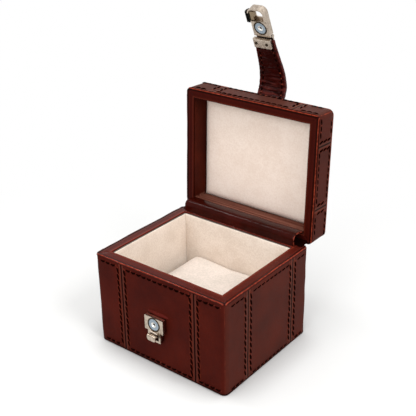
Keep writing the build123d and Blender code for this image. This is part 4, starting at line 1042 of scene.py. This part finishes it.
hand_work(bm, 0.15, 8)
thicken(bm, strap_thickness - 0.1, 0.5)
set_tooling(bm, lambda co: Vector((0.04, far_away, tail_half_x - abs(co.x))))
finish_piece(
    "closing_strap_tail", bm, strap_leather, "lid", lid_place, ["strap_tail"], sharp=50
)

# %% [markdown]
# ## Round the lock
# Above the lock's leather block the front panel swells out where it was wetted and pressed
# round the block. It is half a flattened ball, sunk in the panel.

# %% Swelling
bm = bmesh.new()
bmesh.ops.create_uvsphere(bm, u_segments=32, v_segments=16, radius=1.0)
bmesh.ops.scale(bm, vec=(9.0, 1.7, 1.7), verts=bm.verts)
bmesh.ops.translate(bm, vec=(0.5, base_front + 0.25, 41.4), verts=bm.verts)
hand_work(bm, 0.2, 3)
set_tooling(bm, lambda co: Vector((20.0, 20.0, 9.0)))
# its lighter leather is painted light on the swell
finish_piece("lock_leather_swell", bm, painted_lit_swell_leather, "base", sharp=80)

# %% [markdown]
# The block under the lock's plate is two layers of leather with a gap between them, painted black as shade.
# Its top faces take a lighter copy of its leather, as painted light.
# Its outline is pulled back from the plate in steps, inwards at the gap and out again.

# %% Layers of the lock's block
block_outline = (
    (-7.8, 40.4), (7.8, 40.4), (7.8, 30.0), (5.3, 30.0), (5.3, 22.4), (-5.3, 22.4), (-5.3, 30.0),
    (-7.8, 30.0),
)
block_face, gap_front, gap_back, block_back = -49.98, -48.4, -47.75, -46.9
bm = bmesh.new()
edges, _ = draw(bm, [(x, block_face, z) for x, z in block_outline], closed=True)
for depth, inset in (
    (gap_front - 0.05, 0.0), (gap_front, 0.5), (gap_back, 0.0), (gap_back + 0.05, -0.5), (block_back, 0.0),
):
    edges, ring = pull(bm, edges)
    for v in ring:
        v.co.x -= math.copysign(inset, v.co.x)
        v.co.z -= inset if v.co.z > 35 else -inset
        v.co.y = depth
close_up(bm)
# faces in the gap get the black thread as painted shade, and the top faces the lighter copy as painted light
for f in bm.faces:
    in_gap_painted_black = gap_front - 0.03 < f.calc_center_median().y < gap_back + 0.03
    f.material_index = 2 if in_gap_painted_black else 1 if f.normal.z > 0.7 else 0
block = finish_piece(
    "lock_block_layers", bm, block_leather, "base", None, ["lock_block"], sharp=30
)
block.data.materials.append(painted_lit_block_top_leather)
block.data.materials.append(thread)

# %% [markdown]
# In the middle of each ring magnet sits a bright eyelet with a hole, and a groove runs round
# the ring; the hole and the groove are dark nickel as painted shade. Both are turned from their half sections
# about the magnet's axis.

# %% Eyelets and grooves
ring_low, ring_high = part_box("lock_magnet")
ring_edge = (ring_high.x - ring_low.x) / MM / 2
eyelet_section = (
    (2.05, 0.95), (1.95, 1.32), (1.75, 1.35), (1.55, 1.28), (0.95, 0.62), (0.8, 0.55), (0.75, 0.2),
    (0.0, 0.2),
)
groove_section = (
    (ring_edge - 0.15, 1.0), (ring_edge - 0.1, 1.35), (ring_edge + 0.85, 1.35), (ring_edge + 0.9, 1.0),
)


def eyelet(name, node, body, seat, out):
    """A countersunk eyelet in a ring magnet, turned about its own axis."""
    out = out.normalized()
    bm = bmesh.new()
    for section in (eyelet_section, groove_section):
        draw(bm, [(radius, 0, height) for radius, height in section])
    bmesh.ops.spin(
        bm, geom=bm.verts[:] + bm.edges[:], cent=(0, 0, 0), axis=(0, 0, 1), angle=2 * math.pi, steps=32,
        use_merge=True,
    )
    bmesh.ops.remove_doubles(bm, verts=bm.verts, dist=1e-3)

    def inwards(normal, c):
        # upright faces look away from the axis outside the countersink, and to it inside
        return normal.z < 0 if abs(normal.z) > 0.01 else normal.dot(c) * (c.length - 1.4) < 0

    turn_over(bm, inwards)
    # the hole and the groove get the dark nickel: painted shade
    for f in bm.faces:
        in_metal = 0.85 <= f.calc_center_median().xy.length <= 2.5
        f.material_index = 0 if in_metal else 1
    turn = out.to_track_quat("Z", "Y").to_matrix().to_4x4()
    spot = Matrix.Translation(seat) @ turn
    piece = finish_piece(name, bm, bright_rivet, body, spot, [node], sharp=50)
    piece.data.materials.append(dark_nickel)


hasp_tipward, hasp_inward = Vector((0, -0.403545, 0.914960)), Vector((0, -0.914960, -0.403545))
hasp_heel = Vector((0, 68.211, 199.676))
eyelet("lock_eyelet", "lock_rivet", "base", Vector((0, -50.0, 35.2)), Vector((0, -1, 0)))
eyelet("hasp_eyelet", "hasp_rivet", "hasp", hasp_heel + hasp_tipward * 6.4 - hasp_inward * 1.3, hasp_inward)

# %% [markdown]
# ## Stitches
# The rows are saddle stitched with thick black thread. A stitch is a small pod of a few
# dozen faces, lying along its row and sunk into the leather, and between two stitches the
# leather stands up in a small rubbed hump. One bmesh takes a whole body's stitches and one
# its humps, so there are two pieces for the base and two for the lid.


# %% Sewing
def pod(row, middle, along, beside, out, size, sag=0.0):
    """One small pod: a ball drawn out along its row, which may sag in the middle."""
    length, width, height = size
    for v in bmesh.ops.create_uvsphere(row, u_segments=6, v_segments=6, radius=1.0)["verts"]:
        bow = sag * (1 - v.co.z**2)
        v.co = (
            middle + along * v.co.z * length / 2 + beside * (v.co.x * width / 2 - bow)
            + out * (v.co.y * height / 2 + height * 0.06)
        )


def add_to(bm, row):
    """Moves a row's own bmesh into the whole body's bmesh."""
    sewn = bpy.data.meshes.new("row")
    row.to_mesh(sewn)
    row.free()
    bm.from_mesh(sewn)
    bpy.data.meshes.remove(sewn)


def sew(bms, start, stop, out, size, slant=0.0, droop=0.0, pitch=stitch_pitch, phase=None):
    """A row of stitches, and the leather's humps between them; phase puts them on the pattern."""
    run = stop - start
    spots = [0.5]
    if phase:
        first, last = phase(start) / pitch, phase(stop) / pitch
        low, high = min(first, last), max(first, last)
        counted = range(math.ceil(low - 0.2), math.floor(high - 0.8) + 1)
        spots = [(n + 0.5 - first) / (last - first) for n in counted]
    ahead = run.normalized()
    tilted = (ahead + out.cross(ahead) * slant).normalized()
    beside = out.cross(tilted)
    stitches, humps = bmesh.new(), bmesh.new()
    for spot in spots:
        middle = start + run * spot
        wobble = noise.noise(middle / 2.3)
        pod(stitches, middle + beside * wobble * 0.18, tilted, beside, out, size, droop)
        worn = 0.7 + 0.5 * noise.noise(middle / 1.7)
        gap = middle + ahead * pitch / 2 - beside * 0.1
        pod(humps, gap, ahead, beside, out, (1.25 * worn, 1.2 * worn, 0.95 * worn))
    add_to(bms[0], stitches)
    add_to(bms[1], humps)


def sew_box(bms, place, low_y, high_y, high_z, seam_x, side_seams, rows, droop, up_axis):
    """Both rows of every seam, and the rows along the top and bottom edges."""
    half, level = shell_half_width, 1 if up_axis == 2 else 2
    seam_slant, row_slant, from_corner = 0.3, 0.12, 3
    seam_stitch, end_stitch, side_stitch = (4.8, 1.4, 1.2), (4.2, 1.55, 1.3), (3.9, 1.1, 1.1)

    def up(p):
        return (place @ p)[up_axis]

    def across(p):
        return (place @ p).x + (place @ p)[level]

    # a kind of wall: its seams, its two corners, its rows, its stitch and its droop
    end_kind = ((-seam_x, seam_x), -half, half, rows[0], end_stitch, droop)
    side_kind = (side_seams, low_y, high_y, rows[1], side_stitch, 0.35 * droop)
    for axis, distance, way, kind in (
        (1, low_y, -1, end_kind), (1, high_y, 1, end_kind),
        (0, -half, -1, side_kind), (0, half, 1, side_kind),
    ):
        seams, first, last, (from_low, from_high), stitch, sag = kind
        heights, out = (from_low, high_z - from_high), Vector()
        out[axis] = way

        def at(along, z):
            return Vector((distance, along, z) if axis == 0 else (along, distance, z))

        lines = [seam + shift for seam in seams for shift in (-seam_row, seam_row)]
        for line in lines:
            low, high = (at(line, z) for z in heights)
            sew(bms, low, high, out, seam_stitch, seam_slant, phase=up)
        stops = (first + from_corner, *lines, last - from_corner)
        for z in heights:
            for a, b in zip(stops[::2], stops[1::2]):
                sew(bms, at(a, z), at(b, z), out, stitch, row_slant, sag, phase=across)


for body, place, box, droop, up_axis in (
    ("base", Matrix(), base_box, 0.9, 2), ("lid", lid_place, lid_box, 0.6, 1),
):
    bms = bmesh.new(), bmesh.new()
    sew_box(bms, place, *box, droop, up_axis)
    finish_piece(body + "_stitching", bms[0], thread, body, place, sharp=80)
    finish_piece(body + "_stitch_humps", bms[1], hump_leather, body, place, sharp=80)

# %% [markdown]
# The strap has one row along each edge, sewn through both of its layers. The rows follow
# the bow of the strap, so they are sewn stitch by stitch along the same line of points.

# %% Rows along the strap
bms = bmesh.new(), bmesh.new()
strap_stitches, row_start, row_share = 13, 0.035, 0.9
row_inset, strap_pitch, strap_stitch = 2.8, 3.9, (2.9, 1.3, 1.5)
for i in range(strap_stitches):
    here = on_line(strap_line, row_start + row_share * i / strap_stitches)
    there = on_line(strap_line, row_start + row_share * (i + 1) / strap_stitches)
    ahead = (there - here).normalized()
    square = Vector((0, -ahead.y, ahead.x))
    sunk = square * (strap_thickness / 2 - 0.25)
    for side in (-1, 1):
        start, stop = (
            Vector((side * (half_strap(spot.x) - row_inset), spot.x, spot.y)) - sunk for spot in (here, there)
        )
        sew(bms, start, stop, -square, strap_stitch, pitch=strap_pitch)
for name, bm, finish in zip(("stitching", "stitch_humps"), bms, (thread, strap_hump_leather)):
    strap_thread = finish_piece("strap_" + name, bm, finish, None, lid_place, sharp=80)
    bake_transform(strap_thread)

# %% [markdown]
# ## Hardware and what stays as the CAD made it
# The lock's plate, the hasp, the clamp and the hinge are rigid and already exact, so they
# keep their CAD shape and only get their finish.

# %% Finish the CAD nodes
node_finishes = {
    nickel: [
        "lock_plate", "hasp_body", "clamp_plate", "clamp_back_plate", "hinge_base_screws", "hinge_lid_screws",
        "hasp_pin",
    ],
    dark_nickel: ["clamp_rivets"],
    catch_metal: ["catch_slider"],
    magnet_plate: ["lock_magnet", "hasp_magnet"],
    brass: ["hinge_pin", "hinge_base_leaf", "hinge_lid_leaf"],
    band_leather: ["lid_inner_band"],
    block_leather: ["base_bottom_leather"],
    cream_suede: ["cushion_plinth"],
}
dressed = {name: material for material, names in node_finishes.items() for name in names}
for name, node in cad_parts.items():
    material = dressed.get(name, grey_board if name.endswith("board") else None)
    if material is None or node.hide_render:
        continue
    node.data.materials.clear()
    node.data.materials.append(material)
print("finished CAD nodes:", sum(1 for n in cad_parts.values() if not n.hide_render))

# %% [markdown]
# ## Floor and light
# The box stands on a white sweep. The floor stays a real diffuse surface, so it keeps the
# soft shadow, and a little glow for the camera alone makes it read as white. Close under
# the box's edges its colour is darkened by ambient occlusion, a painted shadow, and far from
# the box it fades into the backdrop. Three wide soft boxes and one smaller lamp at the left
# are weak, so a dyed colour renders about as it is written.


# %% Floor
def looked_at(owner):
    """One for the rays of the camera, of mirrors and of glass, and nought for the rest."""
    path = add(owner, "LightPath")
    mirrors = {0: path.outputs["Is Glossy Ray"], 1: path.outputs["Is Transmission Ray"]}
    mirrored = add(owner, "Math", mirrors, operation="MAXIMUM")
    return add(owner, "Math", {0: path.outputs["Is Camera Ray"], 1: mirrored}, operation="MAXIMUM")


pure_white = (1, 1, 1, 1)
sweep, place = new_finish("white_paper_sweep")
# close under the box's edges the paper's colour is darkened by ambient occlusion: a painted shadow
near_box = add(sweep, "AmbientOcclusion", {"Distance": 0.03})
outside_painted_shadow = add(sweep, "MapRange", span(near_box.outputs["AO"], 0.45, 0.9))
paper = add(sweep, "BsdfDiffuse", {"Color": coated(sweep, "#b9b8b7", (outside_painted_shadow, "#dcdcdb"))})
glow = add(sweep, "Emission", {"Color": pure_white, "Strength": 0.06})
lit = add(sweep, "AddShader", {0: paper, 1: glow})
# away from the box the paper fades into the white of the backdrop
reach = add(sweep, "VectorMath", {0: place}, operation="LENGTH")
fade = add(sweep, "MapRange", span(reach.outputs["Value"], 0.1, 0.32), interpolation_type="SMOOTHSTEP")
backdrop = add(sweep, "Emission", {"Color": pure_white, "Strength": 1.0})
faded = add(sweep, "MixShader", {0: fade, 1: lit, 2: backdrop})
bounce = add(sweep, "BsdfDiffuse", {"Color": dye("#b2b2b1")})
seen = add(sweep, "MixShader", {0: looked_at(sweep), 1: bounce, 2: faded})
add(sweep, "OutputMaterial", {0: seen})
bm = bmesh.new()
bmesh.ops.create_grid(bm, x_segments=4, y_segments=4, size=6.0)
mesh = bpy.data.meshes.new("floor")
bm.to_mesh(mesh)
bm.free()
mesh.materials.append(sweep)
floor = stand("floor", mesh)
floor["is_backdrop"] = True
print("the floor is", round(floor.dimensions.x), "m wide")

# %% World and lamps
world = bpy.data.worlds.new("studio")
world.use_nodes = True
world.node_tree.nodes.clear()
plain = add(world, "Background", {"Color": pure_white, "Strength": 0.72})
white = add(world, "Background", {"Color": pure_white, "Strength": 1.0})
chosen = add(world, "MixShader", {0: looked_at(world), 1: plain, 2: white})
add(world, "OutputWorld", {0: chosen})
bpy.context.scene.world = world


def lamp(name, spot, target, power, size):
    """A square soft box that looks at a target."""
    data = bpy.data.lights.new(name, "AREA")
    data.energy, data.size = power, size
    made = stand(name, data)
    made.location = Vector(spot)
    made.rotation_mode = "QUATERNION"
    made.rotation_quaternion = (Vector(target) - Vector(spot)).to_track_quat("-Z", "Y")


lamp("overhead_softbox", (0.0, -0.1, 1.3), (0, 0, 0.05), 3.6, 0.9)
lamp("left_top_lamp", (-0.62, -0.03, 0.98), (0, 0, 0.07), 2.2, 0.17)
lamp("right_top_lamp", (0.8, -0.1, 0.8), (0, 0, 0.07), 6.4, 0.5)
lamp("front_softbox", (0.05, -1.2, 0.75), (0, 0, 0.1), 7.2, 0.9)
bpy.context.scene.view_settings.view_transform = "Standard"

# %% [markdown]
# ## The size at the end
# The dressed box has to stay as big as the CAD model, so how far it grows past the CAD box is printed.

# %% Sizes and the end
low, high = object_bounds()
{"cad": [list(cad_low), list(cad_high)], "final": [list(low), list(high)]}
grown_low = [round((a - b) / MM, 2) for a, b in zip(cad_low, low)]
grown_high = [round((b - a) / MM, 2) for a, b in zip(cad_high, high)]
print("grown by mm:", grown_low, grown_high)
